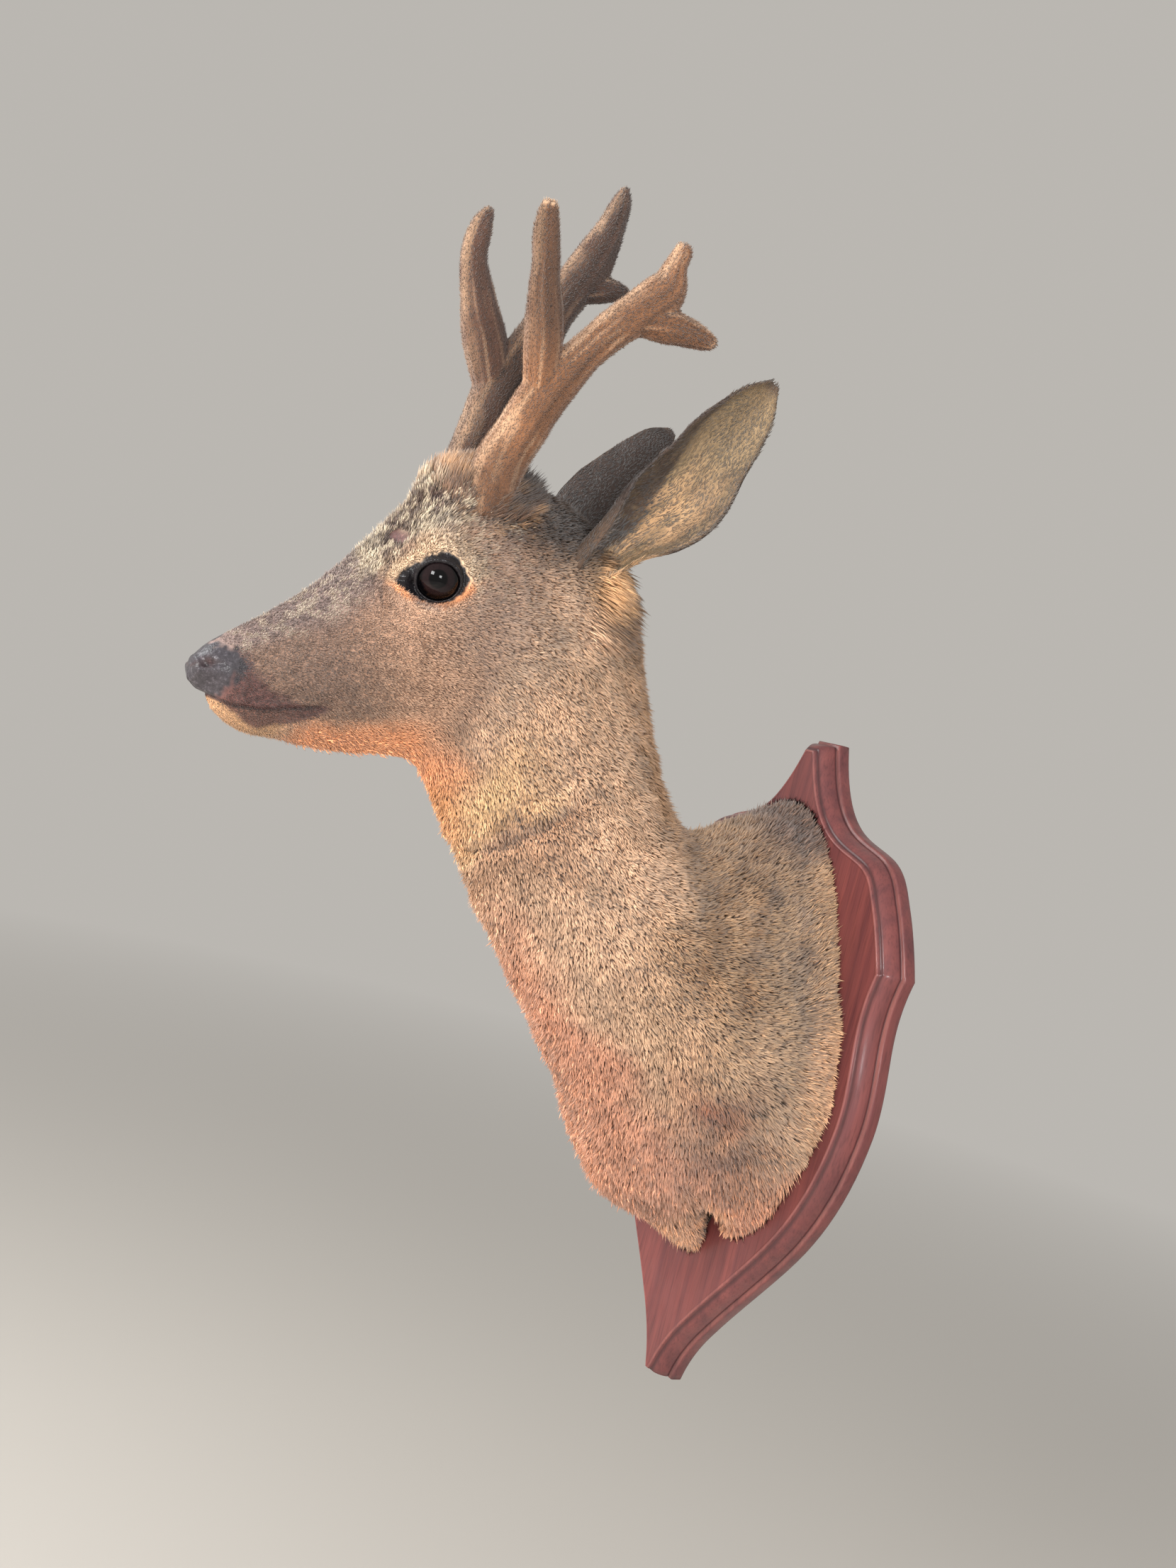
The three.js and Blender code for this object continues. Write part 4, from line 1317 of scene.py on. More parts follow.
def shield_rings():
    """The whole outline, mirrored, drawn in by each row of the moulding along its own inward normal;
    at the blunt ends it comes in less."""
    half = shield_outline()
    run = unit(np.gradient(half, axis=0))
    inward = np.stack([run[:, 1], -run[:, 0]], axis=1)
    rings = []
    for inset, back in MOULDING:
        ring = half + inward * inset
        ring[0, 1] = half[0, 1] - SHIELD_END_INSETS[0] * inset
        ring[-1, 1] = half[-1, 1] + SHIELD_END_INSETS[1] * inset
        fall = np.arange(len(ring)) * SHIELD_GAP
        ring[:, 1] = np.minimum.accumulate(np.clip(ring[:, 1], ring[-1, 1], ring[0, 1]) + fall) - fall
        ring[:, 0] = np.maximum(ring[:, 0], 0.4)
        whole = np.concatenate([ring, ring[::-1] * [-1, 1]])
        level = np.full(len(whole), BOARD_FACE + back)
        rings.append(np.stack([whole[:, 0], level, whole[:, 1]], axis=1))
    return np.array(rings)


# ---- settings --------------------------------------------------------------------------------

# Numbers of tufts: label, usual, least and most.
COUNTS = {
    "body_tufts": ("Tufts on neck and chest", 205000, 1000, 240000),
    "long_tufts": ("Longer locks on edges, antlers and ears", 14000, 500, 19000),
    "face_tufts": ("Tufts on the face", 75000, 1000, 90000),
    "ear_tufts": ("Tufts on each ear", 12000, 500, 40000),
    "velvet_tufts": ("Tufts on each antler", 16000, 500, 45000),
}
# Lengths in millimetres: label, usual, least and most.
LENGTHS = {
    "tuft_width": ("Width of a neck tuft at its root", 1.25, 0.3, 4),
    "face_tuft_width": ("Width of a face tuft at its root", 0.85, 0.2, 2),
    "cornea": ("How far the cornea stands out", 0.5, 0, 2),
    "floor_drop": ("How far the floor lies under the shield's middle", 620, 250, 3000),
}


class DeerSizes(bpy.types.PropertyGroup):
    """Sizes and amounts that a user would change."""
    __annotations__ = {
        key: IntProperty(name=label, description=label, default=usual, min=least, max=most)
        for key, (label, usual, least, most) in COUNTS.items()
    } | {
        key: FloatProperty(name=label, description=label, default=usual * MM, min=least * MM,
                           max=most * MM, unit="LENGTH", precision=5)
        for key, (label, usual, least, most) in LENGTHS.items()
    }


class DeerColours(bpy.types.PropertyGroup):
    """Colours of the coat, the bare parts, the velvet, the shield and the floor."""
    __annotations__ = {
        key: FloatVectorProperty(
            name=key.replace("_", " ").capitalize(), description="Colour of " + key.replace("_", " "),
            subtype="COLOR_GAMMA", size=3, min=0, max=1, default=tuple(part / 255 for part in colour))
        for key, colour in PALETTE.items()
    }


def sizes():
    """The scene's sizes."""
    return bpy.context.scene.deer_sizes


def palette():
    """The scene's colours by name."""
    return {key: tuple(getattr(bpy.context.scene.deer_colours, key)) for key in PALETTE}


# ---- finishes --------------------------------------------------------------------------------

# Hair: brightness from root to tip, whose dark roots are both banding of the hair and painted shade
# between the tufts; brightness from tuft to tuft; and roughness.
HAIR = {
    "body_hair": ([(0, 0.66), (0.4, 0.82), (0.62, 1.0), (0.85, 1.12), (1, 1.06)],
                  [(0, 0.68), (0.25, 0.84), (0.45, 1.0), (0.7, 1.05), (1, 1.14)], 0.72),
    "face_hair": ([(0, 0.4), (0.4, 0.65), (0.62, 1.0), (0.85, 1.2), (1, 1.1)],
                  [(0, 0.58), (0.25, 0.76), (0.45, 0.95), (0.7, 1.1), (1, 1.35)], 0.72),
    "ear_hair": ([(0, 0.74), (0.4, 0.9), (0.8, 1.05), (1, 1.02)],
                 [(0, 0.82), (0.3, 0.92), (0.6, 1.0), (1, 1.12)], 0.72),
    "velvet_pile": ([(0, 0.7), (0.5, 0.95), (1, 1.15)],
                    [(0, 0.8), (0.3, 0.92), (0.6, 1.0), (1, 1.2)], 0.85),
}
# Colours within a glass eye and of the wood's paler edges, worn and with painted highlight, as shares of
# red, green and blue.
PUPIL, IRIS_DARK, IRIS_LIGHT = (0.008, 0.007, 0.01), (0.045, 0.032, 0.038), (0.11, 0.072, 0.076)
WORN_AND_LIT_WOOD = (0.72, 0.48, 0.44)


def hair_finish(name):
    """Hair: its marking, shaded from root to tip, the dark roots both banding and painted shade between
    the tufts, and from tuft to tuft by its row of the table, with dark tips on the darker tufts. Made
    once and then used again."""
    if name in bpy.data.materials:
        return bpy.data.materials[name]
    run, tones, roughness = HAIR[name]
    finish = Finish(name, IOR=1.45, Specular_IOR_Level=0.22, Sheen_Weight=0.12, Sheen_Roughness=0.5)
    along, tone = finish.attribute("along"), finish.attribute("tone")
    shade = finish.ramp(along, run)
    tip = finish.ramp(along, [(0.72, 0), (0.92, 1)]) * finish.ramp(tone, [(0.2, 1), (0.34, 0)])
    shade = shade * (1 - tip * 0.12)
    stops = [(place, (grey, grey * (0.76 + 0.24 * min(grey, 1)), grey * (0.6 + 0.4 * min(grey, 1))))
             for place, grey in tones]
    colour = finish.mix(1, finish.attribute("marking", "Color"), finish.ramp(tone, stops), "MULTIPLY")
    colour = finish.times(colour, shade)
    return finish.finish(Base_Color=colour, Roughness=0.1 * tone + (roughness - 0.05))


def skin_finish():
    """Skin under the coat: its markings flecked along the lie of the hair, a short nap as bump, and
    pebbled leather with a soft gloss where it is bare, its brightest flecks painted highlights."""
    finish = Finish("skin", IOR=1.45, Specular_IOR_Level=0.35)
    bare = finish.attribute("bare")
    nap = finish.grain((620, 190, 1), 3, 0.6, "UV")
    fleck = finish.noise(finish.place(), 420, 3, 0.65)
    shade = finish.ramp(nap, [(0.3, 0.65), (0.5, 0.85), (0.7, 1.05)]) * finish.ramp(
        fleck, [(0.3, 0.75), (0.5, 0.98), (0.7, 1.2)])
    # Bare leather: mottled, and up to 2.2 times as bright in its brightest flecks, which are painted
    # highlights.
    leather = finish.ramp(fleck, [(0.3, 0.6), (0.55, 1.0), (0.75, 2.2)])
    shade = shade * (1 - bare) + leather * bare
    colour = finish.times(finish.attribute("marking", "Color"), shade)
    pebble = finish.value("ShaderNodeTexVoronoi", {"feature": "F1"}, {
        "Vector": finish.place(), "Scale": 900})
    height = nap * (1 - bare) + pebble * bare * 0.5
    rough = 0.78 - bare * (0.42 + fleck * 0.2)
    return finish.finish(
        Base_Color=colour, Roughness=rough, Normal=finish.bump(height, 0.55, 0.5 * MM))


def eye_finish():
    """Glass eye: a near black pupil and a dark brown iris with fine rays and a black rim."""
    finish = Finish("glass_eye", IOR=1.4, Roughness=0.03, Specular_IOR_Level=0.4)
    far = finish.attribute("from_axis")
    rays = finish.noise(finish.place(), 900)
    brown = finish.mix(rays, rgba(IRIS_DARK), rgba(IRIS_LIGHT))
    disc = finish.ramp(far, [(0.34, 0), (0.42, 1), (0.66, 1), (0.78, 0)])
    return finish.finish(Base_Color=finish.mix(disc, rgba(PUPIL), brown))


def velvet_finish():
    """Velvet under its nap: its colour with fine flecks, and a close pile as bump."""
    finish = Finish("velvet", IOR=1.45, Specular_IOR_Level=0.15, Sheen_Weight=0.25, Sheen_Roughness=0.5)
    fleck = finish.noise(finish.place(), 700, 3, 0.65)
    broad = finish.grain((90, 90, 26), 3)
    shade = finish.ramp(fleck, [(0.3, 0.7), (0.7, 1.0)]) * finish.ramp(broad, [(0.3, 0.9), (0.7, 1.08)])
    colour = finish.times(finish.attribute("marking", "Color"), shade)
    return finish.finish(
        Base_Color=colour, Roughness=0.85 + 0.1 * fleck, Normal=finish.bump(fleck, 0.6, 0.6 * MM))


def shield_finish(colours):
    """Stained hardwood: upright grain between a dark and a light red brown, with painted shade in the
    grooves and edges paler by wear and painted highlight, under a satin varnish."""
    finish = Finish("shield_wood", IOR=1.45, Specular_IOR_Level=0.35, Coat_Roughness=0.2)
    # groove is the share of painted shade; edge is the share of wear and painted highlight.
    groove, edge = finish.attribute("groove"), finish.attribute("edge")
    warp = finish.grain((14, 14, 3))
    bent = finish.value("ShaderNodeVectorMath", {"operation": "MULTIPLY_ADD"}, [
        finish.mix(warp, (0, 0, 0, 1), (1, 1, 1, 1)), (0.5, 0.5, 0.1), finish.stretched((150, 90, 7))])
    grain = finish.noise(bent, 1.0, 6, 0.62, 0.3)
    pores = finish.grain((900, 900, 45))
    broad = finish.grain((22, 22, 3))
    wood = finish.mix(finish.ramp(grain, [(0.32, 0), (0.68, 1)]), rgba(colours["shield_dark"]),
                      rgba(colours["shield_light"]))
    wood = finish.times(wood, finish.ramp(broad, [(0.3, 0.78), (0.7, 1.15)])
                        * finish.ramp(pores, [(0.3, 0.72), (0.5, 1.0)]))
    # Painted shade in the grooves.
    wood = finish.mix(groove * 0.8, wood, rgba(colours["shield_groove"]))
    # Paler edges: wear and painted highlight.
    wood = finish.mix(edge * 0.22 * grain, wood, rgba(WORN_AND_LIT_WOOD))
    scuffs = finish.grain((60, 60, 60), 5, 0.7)
    return finish.finish(
        Base_Color=wood, Roughness=0.42 + 0.22 * scuffs + 0.1 * groove, Coat_Weight=0.9 - 0.7 * scuffs,
        Normal=finish.bump(grain * 0.6 + pores * 0.4, 0.22, 0.25 * MM))


# ---- operators -------------------------------------------------------------------------------

class DeerSkin(bpy.types.Operator):
    """Build the skin of muzzle, head, neck, chest and ears, with its lids and lips"""
    bl_idname = "deer.skin"
    bl_label = "Skin"

    def execute(self, context):
        colours = palette()
        place, turn, points = skin_grid()
        colour, bare = markings(place, turn, points, colours)
        first, last = points[0], points[-1]
        nose = first.mean(0)
        domes = [nose + (first - nose) * np.cos(a) + NOSE_DOME * np.sin(a)
                 for a in (1.35, 1.05, 0.75, 0.45, 0.2)]
        back = last.mean(0) * [0, 0, 1] + [0, BOARD_FACE - 0.35, 0]
        flats = [back + (last * [1, 0, 1] - back * [0, 0, 1]) * [share, 0, share]
                 for share in (1.0, 0.6, 0.25)]
        rings = np.concatenate([np.array(domes), points, np.array(flats)])
        parts = [closed_tube(rings)]

        def lengthened(field):
            """The grid's field carried over the added rings and the two end points."""
            ends = [field[:1]] * len(domes) + [field] + [field[-1:]] * len(flats)
            flat = np.concatenate(ends).reshape(-1, *field.shape[2:])
            return np.concatenate([flat, flat[:1], flat[-1:]])

        lie = np.stack([turn / (2 * np.pi), place / LAST_SECTION], -1)
        marks, bares, lies = [lengthened(colour)], [lengthened(bare)], [lengthened(lie)]
        for side in EARS:
            shell, share, tall, inside = ear_shell(side)
            parts.append(closed_tube(shell))
            mark = ear_markings(side, share, tall, inside, shell, colours).reshape(-1, 3)
            marks.append(np.concatenate([mark, mark[:1], mark[-1:]]))
            bares.append(np.zeros(len(marks[-1])))
            lie = np.stack([share * 0.1, tall * 0.3], -1).reshape(-1, 2)
            lies.append(np.concatenate([lie, lie[:1], lie[-1:]]))
        for side in (1, -1):
            parts.append(self.lid_ring(side))
            count = len(parts[-1][0])
            marks.append(np.broadcast_to(linear(colours["lids"]), (count, 3)))
            bares.append(np.ones(count))
            lies.append(np.zeros((count, 2)))
        points, quads, triangles = joined(parts)
        new_piece("skin", points, quads, triangles, "body_coat", skin_finish(),
                  {"Lie": np.concatenate(lies)},
                  {"marking": np.concatenate(marks), "bare": np.concatenate(bares)},
                  ["nose_pad", "muzzle", "lower_jaw", "head", "neck_upper", "neck_lower", "chest",
                   "ear_left", "ear_right"])
        return {"FINISHED"}

    def lid_ring(self, side, steps=96, sides=12):
        """A thin closed ring on the ball about the eye's opening, thicker along the upper lid."""
        t = np.linspace(0, 2 * np.pi, steps, endpoint=False)
        front = EYE_OPENING[0] * np.cos(t) * LID_RING
        up = EYE_OPENING[1] * np.sin(t) * LID_RING - OPENING_DROP
        out = np.sqrt((EYE_RADIUS + LID_RING_OVER) ** 2 - front ** 2 - up ** 2)
        middle = from_eye(front, up, out)
        run = unit(np.roll(middle, -1, axis=0) - np.roll(middle, 1, axis=0))
        stand = unit(middle - EYE_CENTRE)
        across = np.cross(run, stand)
        reach = (0.95 + 0.35 * np.sin(t) + 0.1 * np.cos(7 * t))[:, None, None]
        a = np.linspace(0, 2 * np.pi, sides, endpoint=False)[None, :, None]
        rings = middle[:, None] + reach * (stand[:, None] * np.cos(a) + across[:, None] * np.sin(a))
        points = rings.reshape(-1, 3) * [side, 1, 1]
        quads = grid_faces(steps, sides, closed_rows=True)
        if volume(points, quads, np.zeros((0, 3), int)) < 0:
            quads = quads[:, ::-1]
        return points, quads, np.zeros((0, 3), int)


class DeerEyes(bpy.types.Operator):
    """Build the two glass eyes"""
    bl_idname = "deer.eyes"
    bl_label = "Glass eyes"

    def execute(self, context):
        finish = eye_finish()
        for side, name in ((1, "left"), (-1, "right")):
            polar = np.linspace(0, np.pi, 50)[1:-1, None]
            turn = np.linspace(0, 2 * np.pi, EYE_SIDES, endpoint=False)[None, :]
            radius = EYE_RADIUS + sizes().cornea / MM * fall(polar, 0.55)
            rings = EYE_CENTRE + radius[..., None] * (
                np.cos(polar)[..., None] * EYE_OUT
                + (np.sin(polar) * np.cos(turn))[..., None] * EYE_FRONT
                + (np.sin(polar) * np.sin(turn))[..., None] * EYE_UP)
            points, quads, triangles = closed_tube(rings * [side, 1, 1])
            far = np.concatenate([np.repeat(polar[:, 0], EYE_SIDES), polar[[0, -1], 0]])
            new_piece(f"eye_{name}_glass", points, quads, triangles, "glass_eye", finish,
                      values={"from_axis": far}, replaced=[f"eye_{name}"])
        return {"FINISHED"}


class DeerBodyCoat(bpy.types.Operator):
    """Build the plush coat of crown, neck and chest in joined tufts"""
    bl_idname = "deer.body_coat"
    bl_label = "Coat of neck and chest"

    def execute(self, context):
        coat = Coat()
        fine = np.interp(coat.place, [8, 10, 12.5], [0.72, 0.85, 1.0])
        share = step(coat.place, 7.6, 9.6) * drop(coat.bare, 0.3, 0.6) / fine ** 1.6
        roots, root, up, lie = coat.roots(SEEDS["body"], share, sizes().body_tufts)
        read, count = roots.read, roots.count
        lie = unit(lie + 0.22 * roots.random.normal(size=lie.shape) + cloud(root, 5.0) * 0.3)
        long = read(coat.length) * roots.vary(0.75, 1.2)
        waves = cloud(root, 3.4)[:, 0]
        rise = read(coat.depth) * roots.vary(0.72, 1.05) * (0.92 + 0.16 * waves)
        radius = sizes().tuft_width / MM / 2 * roots.vary(0.75, 1.25) * read(fine)
        # The loose folds' noise read again for colour: on the neck and chest, painted shade in the
        # folds' hollows and paler bulges.
        fold_shade = cloud(root @ ASLANT, LOOSE_FOLD)[:, 2]
        grey = 1 + 0.1 * waves + 0.12 * cloud(root, 9)[:, 1] + 0.18 * fold_shade
        mark = read(coat.colour) * grey[:, None]
        bars = cloud(read(coat.bands(fine=1.1, wide=2.2)), 1)[:, 2]
        tone = np.clip(roots.random.random(count) * 0.5 + 0.25 + 0.7 * bars, 0, 1)
        rise = rise * (0.96 + 0.16 * bars)
        fields = (root, lie, up, long, rise, radius, mark, tone, roots.unwrap(coat.turn, coat.place))
        tuft_pieces("body_coat", int(np.ceil(count / PIECE_TUFTS)), read(coat.place), fields,
                    slot="body_coat", finish=hair_finish("body_hair"), limit=COAT_LIMIT)
        return {"FINISHED"}


class DeerLongCoat(bpy.types.Operator):
    """Build the longer locks: cape edge, front of the throat, jaw, antler bases and behind the ears"""
    bl_idname = "deer.long_coat"
    bl_label = "Longer locks"

    def execute(self, context):
        coat = Coat()
        place, q, near = coat.place, coat.q, folded(coat.points)
        edge = 0.6 * step(place, 19.0, 19.7)
        front = 0.1 * step(q, 0.86, 0.96) * step(place, 10.5, 12.5)
        jaw = 0.45 * step(q, 0.88, 0.95) * step(place, 4.2, 5) * drop(place, 9.5, 11)
        pedicle = span((near - PEDICLE) * [1, 0.9, 1])
        brow = 3.4 * step(pedicle, 10, 15) * drop(pedicle, 22, 32) * step(near[..., 2], 270, 284)
        ear = span((near - [44, -214, 262]) * [0.9, 0.9, 0.8])
        behind = 2.2 * drop(ear, 22, 34) * step(near[..., 1], -232, -214)
        share = (edge + front + jaw + brow + behind) * drop(coat.bare, 0.2, 0.5)
        roots, root, up, lie = coat.roots(SEEDS["long"], share, sizes().long_tufts)
        read, random, count = roots.read, roots.random, roots.count
        brows, ears, jaws = (np.clip(read(field), 0, 1) for field in (brow, behind, jaw * 2))
        sign = np.sign(root[:, 0])
        away = root - PEDICLE * [1, 1, 0] * np.stack([sign, *np.ones((2, count))], -1)
        lie = lie + (brows * 0.5)[:, None] * unit(away * [1, 1, 0])
        lie = lie + (brows * 1.6)[:, None] * [0, 0.1, 1]
        back = np.stack([sign * 0.35, np.full(count, 0.8), np.full(count, -0.25)], -1)
        lie = lie + ears[:, None] * back + 0.2 * random.normal(size=lie.shape)
        lie = unit(lie + cloud(root, 6) * (0.35 + 0.4 * brows)[:, None])
        long = read(coat.length) * (1.1 + 1.7 * brows + 1.7 * ears + 0.3 * jaws)
        long = long * roots.vary(0.7, 1.2)
        rise = read(coat.depth) * (1 + 0.7 * brows + 0.9 * ears) * roots.vary(0.7, 1.35)
        radius = 0.42 * roots.vary(0.7, 1.25) * (1 - 0.25 * jaws)
        mark = read(coat.colour) * (1 + 0.24 * cloud(root, 3)[:, :1])
        tuft_piece("long_coat", root, lie, up, long, rise, radius, mark, random.random(count),
                   roots.unwrap(coat.turn, place), "body_coat", hair_finish("body_hair"), jointed=True,
                   limit=COAT_LIMIT)
        return {"FINISHED"}


class DeerFaceCoat(bpy.types.Operator):
    """Build the short coat of the face in small joined tufts"""
    bl_idname = "deer.face_coat"
    bl_label = "Coat of the face"

    def execute(self, context):
        coat = Coat()
        place = coat.place
        share = drop(place, 8.2, 10) * drop(coat.bare, 0.25, 0.5) * step(place, 0.9, 1.4)
        roots, root, up, lie = coat.roots(SEEDS["face"], share, sizes().face_tufts)
        read, random, count = roots.read, roots.random, roots.count
        lie = unit(lie + 0.2 * random.normal(size=lie.shape) + cloud(root, 3.0) * 0.16)
        long = read(coat.length) * roots.vary(0.7, 1.25)
        rise = (0.35 + read(coat.depth)) * roots.vary(0.5, 1.1) * 0.85
        radius = sizes().face_tuft_width / MM / 2 * roots.vary(0.7, 1.25)
        radius = radius * (0.8 + 0.3 * step(read(place), 5, 8))
        mark = read(coat.colour) * (1.05 + 0.1 * cloud(root, 6)[:, 1:2])
        grain = cloud(root * [1, 0.6, 0.6], 2.4)[:, 0] + roots.vary(-0.3, 0.3)
        at, low = read(place), read(coat.q)
        brow = step(at, 4.8, 5.6) * drop(at, 8.2, 9.2) * drop(low, 0.10, 0.2)
        frost = step(at, 1.2, 1.6) * drop(at, 4.8, 5.6) * drop(low, 0.16, 0.34)
        long = long * (1 + 0.45 * brow)
        rise = rise * (1 + 0.8 * brow)
        clear = span(folded(root) - EYE_CENTRE) >= EYE_CLEAR
        pale, dark = linear(palette()["forehead_pale"]), linear(palette()["crown"])
        temple = step(at, 7.4, 8.2) * step(low, 0.08, 0.14) * drop(low, 0.34, 0.5)
        strand = cloud(read(coat.bands(fine=1.6, wide=5.0)), 1)[:, 1]
        for colour, amount in (
                (pale, 0.45 * temple * step(strand, 0.1, 0.4)),
                (dark, 0.3 * temple * step(-strand, 0.1, 0.4)),
                (pale, 0.7 * (brow * clear + 0.6 * frost) * step(grain, -0.1, 0.25)),
                (dark, 0.55 * (brow * clear + 0.4 * frost) * step(-grain, 0.0, 0.25))):
            mark = mixed(mark, colour, amount)
        bars = cloud(read(coat.bands(fine=0.9, wide=1.6)), 1)[:, 2]
        plain = step(low, 0.8, 0.88) * drop(at, 3.5, 5) + step(low, 0.84, 0.92) * step(at, 3.5, 5)
        tone = np.clip(random.random(count) * 0.75 + 0.15 + 0.65 * bars, 0, 1)
        tone = 0.55 + (tone - 0.55) * (1 - 0.7 * plain)
        fields = (root, lie, up, long, rise, radius, mark, tone, roots.unwrap(coat.turn, place))
        tuft_pieces("face_coat", FACE_PIECES, at, fields, slot="face_coat",
                    finish=hair_finish("face_hair"))
        return {"FINISHED"}


class DeerEarCoat(bpy.types.Operator):
    """Build the short coat of both ears, longer along the rims"""
    bl_idname = "deer.ear_coat"
    bl_label = "Coat of the ears"

    def execute(self, context):
        for side in EARS:
            points, share, tall, inside = ear_shell(side)
            colour = ear_markings(side, share, tall, inside, points, palette())
            across = np.roll(points, -1, axis=1) - np.roll(points, 1, axis=1)
            run = np.gradient(points, axis=0)
            normal = unit(np.cross(across, run))
            centre = points.mean(1, keepdims=True)
            if ((points - centre) * normal).sum(-1)[:, :EAR_STEPS].mean() < 0:
                normal = -normal
            rim = step(np.abs(share), 0.8, 1.0)
            edge = np.sign(share)[..., None] * unit(np.gradient(points, axis=1))
            edge = edge * (1 - 2 * inside[..., None])
            along = unit(unit(run) + edge * (0.35 * rim)[..., None])
            roots = Roots(SEEDS[f"{side}_ear"], points, 1 + 0.8 * rim, sizes().ear_tufts)
            root, up, lie = roots.stand(points, normal, along)
            high = roots.read(tall)
            lie = lie + 0.14 * roots.random.normal(size=lie.shape) + cloud(root, 9) * 0.4
            lie = unit(laid_flat(lie, up))
            long = (3.6 + 1.6 * roots.read(inside)) * roots.vary(0.7, 1.25)
            long = long * (1 + 0.6 * drop(high, 0.12, 0.34)) * (1 - 0.45 * step(high, 0.8, 0.95))
            rise = 0.55 * roots.vary(0.4, 1.4)
            radius = 0.4 * roots.vary(0.7, 1.25)
            mark = roots.read(colour) * (1 + 0.12 * cloud(root, 4)[:, :1])
            unwrap = np.stack([(roots.read(share) + 1) / 4 + roots.read(inside) / 2, high], -1)
            tuft_piece(f"ear_coat_{side}", root, lie, up, long, rise, radius, mark,
                       roots.random.random(roots.count), unwrap, "ear_coat", hair_finish("ear_hair"))
        return {"FINISHED"}


class DeerAntlers(bpy.types.Operator):
    """Build the antlers, each one form with its tines, in velvet"""
    bl_idname = "deer.antlers"
    bl_label = "Antlers in velvet"

    def execute(self, context):
        finish = velvet_finish()
        for side in ANTLERS:
            name = f"antler_{side}_velvet"
            mesh, points, normal = antler_mesh(side)
            mesh.name = name
            lie = antler_places(side, points)
            colour = velvet_colour(side, points, lie, palette())
            keep_values(mesh, "marking", colour)
            placed(name, mesh, "antler_velvet", finish,
                   [f"antler_{side}_{node}" for node in ANTLER_NODES])
            self.pile(side, mesh, points, normal, colour, lie)
        return {"FINISHED"}

    def pile(self, side, mesh, points, normal, colour, places):
        """Short tufts standing on the velvet and leaning to the tip."""
        along, tube, share, turn = places
        random = np.random.default_rng(SEEDS[f"{side}_velvet"])
        mesh.calc_loop_triangles()
        corners = np.zeros(len(mesh.loop_triangles) * 3, np.int32)
        mesh.loop_triangles.foreach_get("vertices", corners)
        corners = corners.reshape(-1, 3)
        p = points[corners]
        area = span(np.cross(p[:, 1] - p[:, 0], p[:, 2] - p[:, 0]))
        count = tuft_count(sizes().velvet_tufts)
        near = corners[picked(random, area, count)]
        weight = random.dirichlet([1, 1, 1], count)[..., None]
        root = (points[near] * weight).sum(1)
        up = unit((normal[near] * weight).sum(1))
        first = near[:, 0]
        lie = along[first] + 0.2 * random.normal(size=root.shape)
        lie = unit(unit(laid_flat(lie, up)) + up * 0.16)
        long = random.uniform(1.4, 2.8, count)
        mark = colour[first] * (1 + 0.2 * streaks(places, fine=1.6)[first])[:, None]
        across = (tube[first] + 0.02 + 0.96 * (turn[first] / (2 * np.pi) + 0.5)) / 3
        tuft_piece(f"antler_{side}_pile", root, lie, up, long, random.uniform(0.2, 0.9, count),
                   random.uniform(0.2, 0.36, count), mark, random.random(count),
                   np.stack([across, share[first]], -1), "antler_velvet", hair_finish("velvet_pile"))


class DeerShield(bpy.types.Operator):
    """Build the moulded wooden shield"""
    bl_idname = "deer.shield"
    bl_label = "Shield"

    def execute(self, context):
        rings = shield_rings()
        columns = rings.shape[1]
        face = [rings[0] * [share, 1, 1] for share in (0.02, 0.3, 0.65)]
        flat = rings[-1] * [1, 0, 1]
        back = [flat * [share, 1, 1] for share in (0.6, 0.02)]
        rings = np.concatenate([np.array(face), rings, [flat], back])
        points, quads, triangles = closed_tube(rings)
        depths = np.array(MOULDING)[:, 1]
        # Shares of painted shade in the grooves and of wear and painted highlight on the edges, ring by
        # ring.
        grooves = sum(fall(depths - deep, GROOVE_SHADE_REACH) for deep in SHADED_GROOVES)
        edges = sum(fall(depths - deep, WORN_LIT_EDGE_REACH) for deep in WORN_LIT_EDGES)
        edges[:2] = 0
        pad = len(face)

        def along_rings(values):
            """One value for each ring, carried to all its points and the two end points."""
            whole = np.concatenate([np.zeros(pad), values, np.zeros(3)])
            return np.concatenate([np.repeat(whole, columns), [0, 0]])

        level = np.ptp(points[quads][..., 1], axis=1) < 0.01
        smooth = np.concatenate([~level, np.zeros(len(triangles), bool)])
        new_piece("shield", points, quads, triangles, "shield_wood", shield_finish(palette()),
                  values={"groove": along_rings(grooves), "edge": along_rings(edges)},
                  replaced=["board"], smooth=smooth)
        return {"FINISHED"}


def stance(right, up, back, place):
    """A matrix that puts something at a place, looking along the opposite of back."""
    return Matrix(np.vstack([np.column_stack([right, up, back, place]), [0, 0, 0, 1]]).tolist())


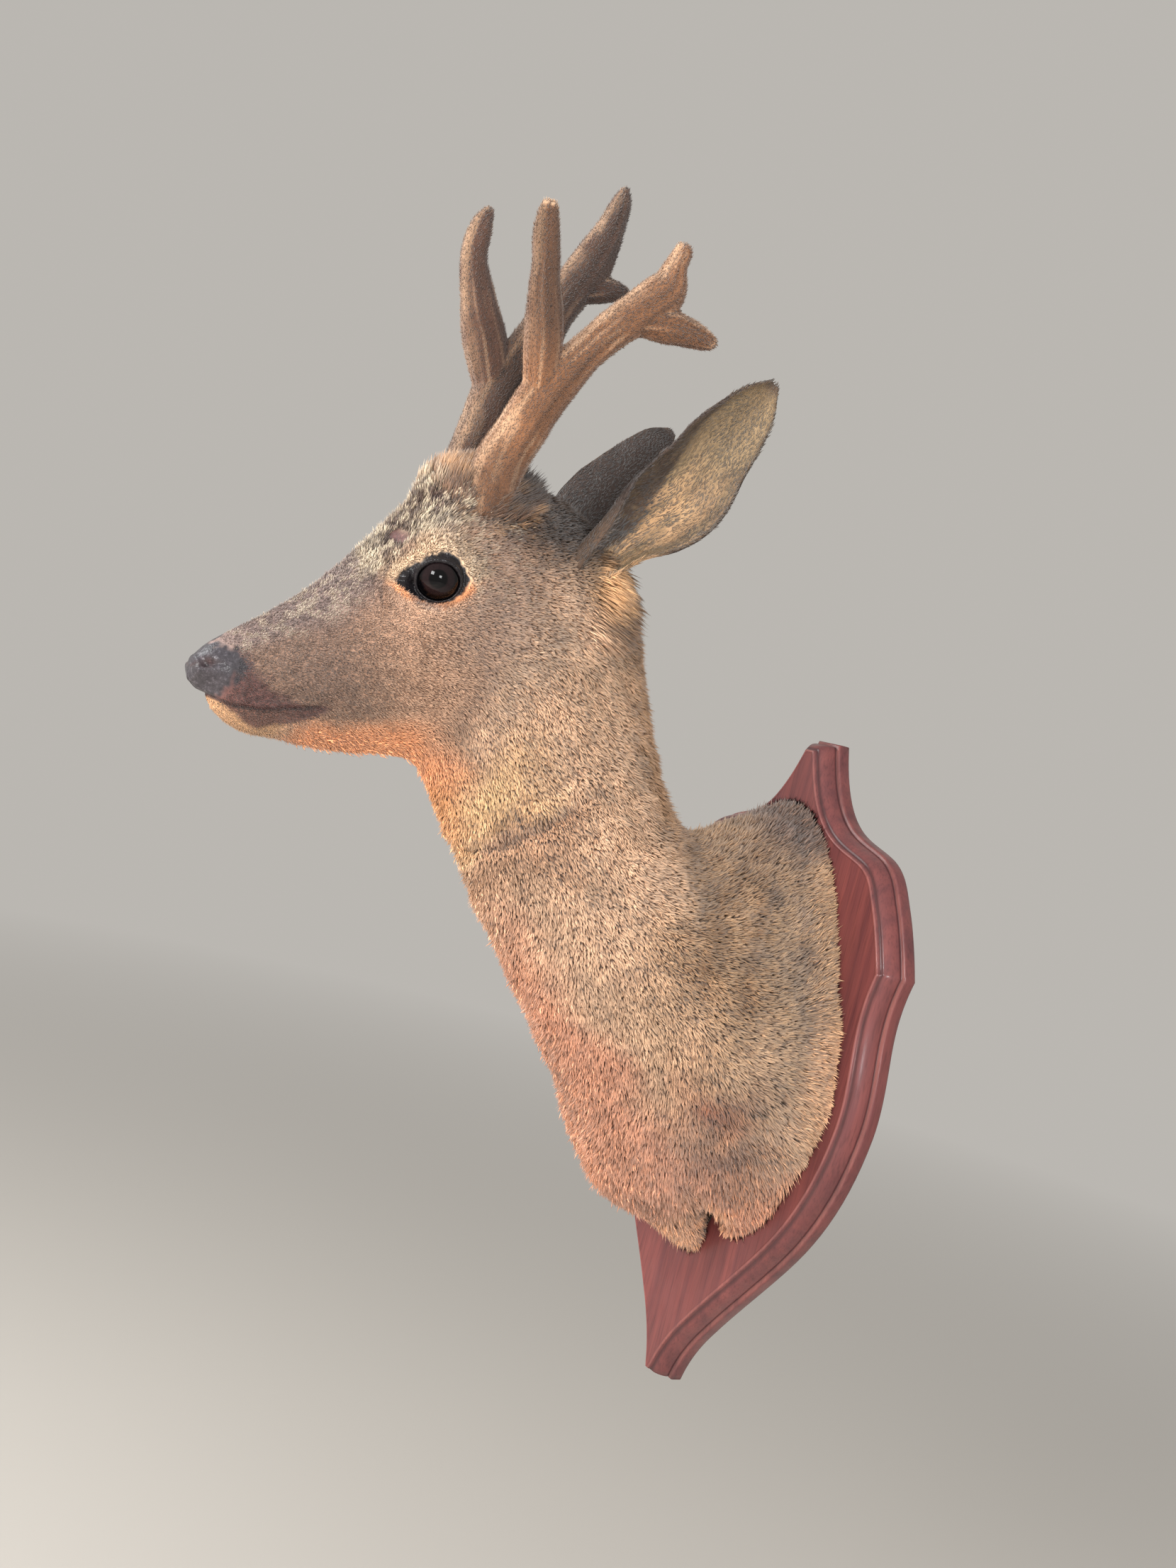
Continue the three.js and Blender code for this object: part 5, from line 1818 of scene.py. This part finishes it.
class DeerStage(bpy.types.Operator):
    """Set the floor, the light and the camera"""
    bl_idname = "deer.stage"
    bl_label = "Stage, light and camera"

    def execute(self, context):
        scene = context.scene
        scene.view_settings.view_transform = "Standard"
        world = bpy.data.worlds.new("studio")
        world.use_nodes = True
        pale = rgba(palette()["floor"])
        world.node_tree.nodes["Background"].inputs["Color"].default_value = pale
        world.node_tree.nodes["Background"].inputs["Strength"].default_value = STUDIO_GLOW
        scene.world = world
        self.floor(pale)
        for row in LIGHTS:
            self.light(*row)
        self.camera(scene)
        return {"FINISHED"}

    def floor(self, pale):
        """A flat square floor whose colour fades into the studio's at a distance."""
        mesh = bpy.data.meshes.new("floor")
        corners = [(x * FLOOR_SIZE, y * FLOOR_SIZE, -sizes().floor_drop)
                   for x, y in ((-1, -1), (1, -1), (1, 1), (-1, 1))]
        mesh.from_pydata(corners, [], [(0, 1, 2, 3)])
        finish = Finish("floor", Roughness=0.8, Specular_IOR_Level=0.1)
        finish.shader.inputs["Base Color"].default_value = (*(FLOOR_SHADE * np.array(pale[:3])), 1)
        far = finish.value("ShaderNodeVectorMath", {"operation": "LENGTH"}, {
            "Vector": finish.place()}, output="Value")
        share = finish.ramp(far / 4.0, [(0.25, 0), (0.85, 1)])
        glow = finish.node("ShaderNodeEmission", inputs={"Color": pale, "Strength": STUDIO_GLOW})
        blend = finish.node("ShaderNodeMixShader", inputs=[
            share, finish.shader.outputs[0], glow.outputs[0]])
        finish.feed(finish.tree.nodes["Material Output"].inputs["Surface"], blend.outputs[0])
        mesh.materials.append(finish.material)
        floor = bpy.data.objects.new("floor", mesh)
        bpy.context.scene.collection.objects.link(floor)

    def light(self, name, place, aim, size, watts, colour):
        """A square soft light at a place, turned to its aim."""
        lamp = bpy.data.lights.new(name, "AREA")
        lamp.size = size
        lamp.energy = watts
        lamp.color = colour
        lit = bpy.data.objects.new(name, lamp)
        lit.visible_glossy = name.endswith("window")
        back = unit(np.array(place) - np.array(aim))
        right = unit(np.cross([0, 0, 1], back))
        lit.matrix_world = stance(right, np.cross(back, right), back, place)
        bpy.context.scene.collection.objects.link(lit)

    def camera(self, scene):
        """The camera from its azimuth, height and roll."""
        a, e, r = np.radians([CAMERA_AZIMUTH, CAMERA_ELEVATION, CAMERA_ROLL])
        back = np.array([np.sin(a) * np.cos(e), -np.cos(a) * np.cos(e), np.sin(e)])
        level = np.array([np.cos(a), np.sin(a), 0])
        upright = np.cross(back, level)
        right = np.cos(r) * level + np.sin(r) * upright
        up = np.cos(r) * upright - np.sin(r) * level
        lens = bpy.data.cameras.new("camera")
        lens.sensor_fit = "AUTO"
        lens.sensor_width = SENSOR_WIDTH
        lens.lens = FOCAL_PIXELS * SENSOR_WIDTH / FRAME_HEIGHT
        camera = bpy.data.objects.new("camera", lens)
        camera.matrix_world = stance(right, up, back, CAMERA_PLACE)
        scene.collection.objects.link(camera)
        scene.camera = camera


STEPS = [DeerStage, DeerSkin, DeerEyes, DeerBodyCoat, DeerLongCoat, DeerFaceCoat, DeerEarCoat,
         DeerAntlers, DeerShield]


class DeerPanel(bpy.types.Panel):
    """Lists the steps of the build, its sizes and colours"""
    bl_idname = "VIEW3D_PT_deer"
    bl_label = "Roe deer shoulder mount"
    bl_space_type = "VIEW_3D"
    bl_region_type = "UI"
    bl_category = "Deer"

    def draw(self, context):
        for built in STEPS:
            self.layout.operator(built.bl_idname)
        for group in (context.scene.deer_sizes, context.scene.deer_colours):
            for key in group.bl_rna.properties.keys():
                if key not in ("rna_type", "name"):
                    self.layout.prop(group, key)


CLASSES = [DeerSizes, DeerColours, *STEPS, DeerPanel]


def register():
    """Registers the classes and hangs the settings on the scene."""
    for known in CLASSES:
        bpy.utils.register_class(known)
    bpy.types.Scene.deer_sizes = PointerProperty(type=DeerSizes)
    bpy.types.Scene.deer_colours = PointerProperty(type=DeerColours)


def unregister():
    """Takes the settings and the classes away."""
    del bpy.types.Scene.deer_colours
    del bpy.types.Scene.deer_sizes
    for known in reversed(CLASSES):
        bpy.utils.unregister_class(known)


def main():
    """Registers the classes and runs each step."""
    register()
    for built in STEPS:
        group, name = built.bl_idname.split(".")
        getattr(getattr(bpy.ops, group), name)()


if __name__ == "__main__":
    main()
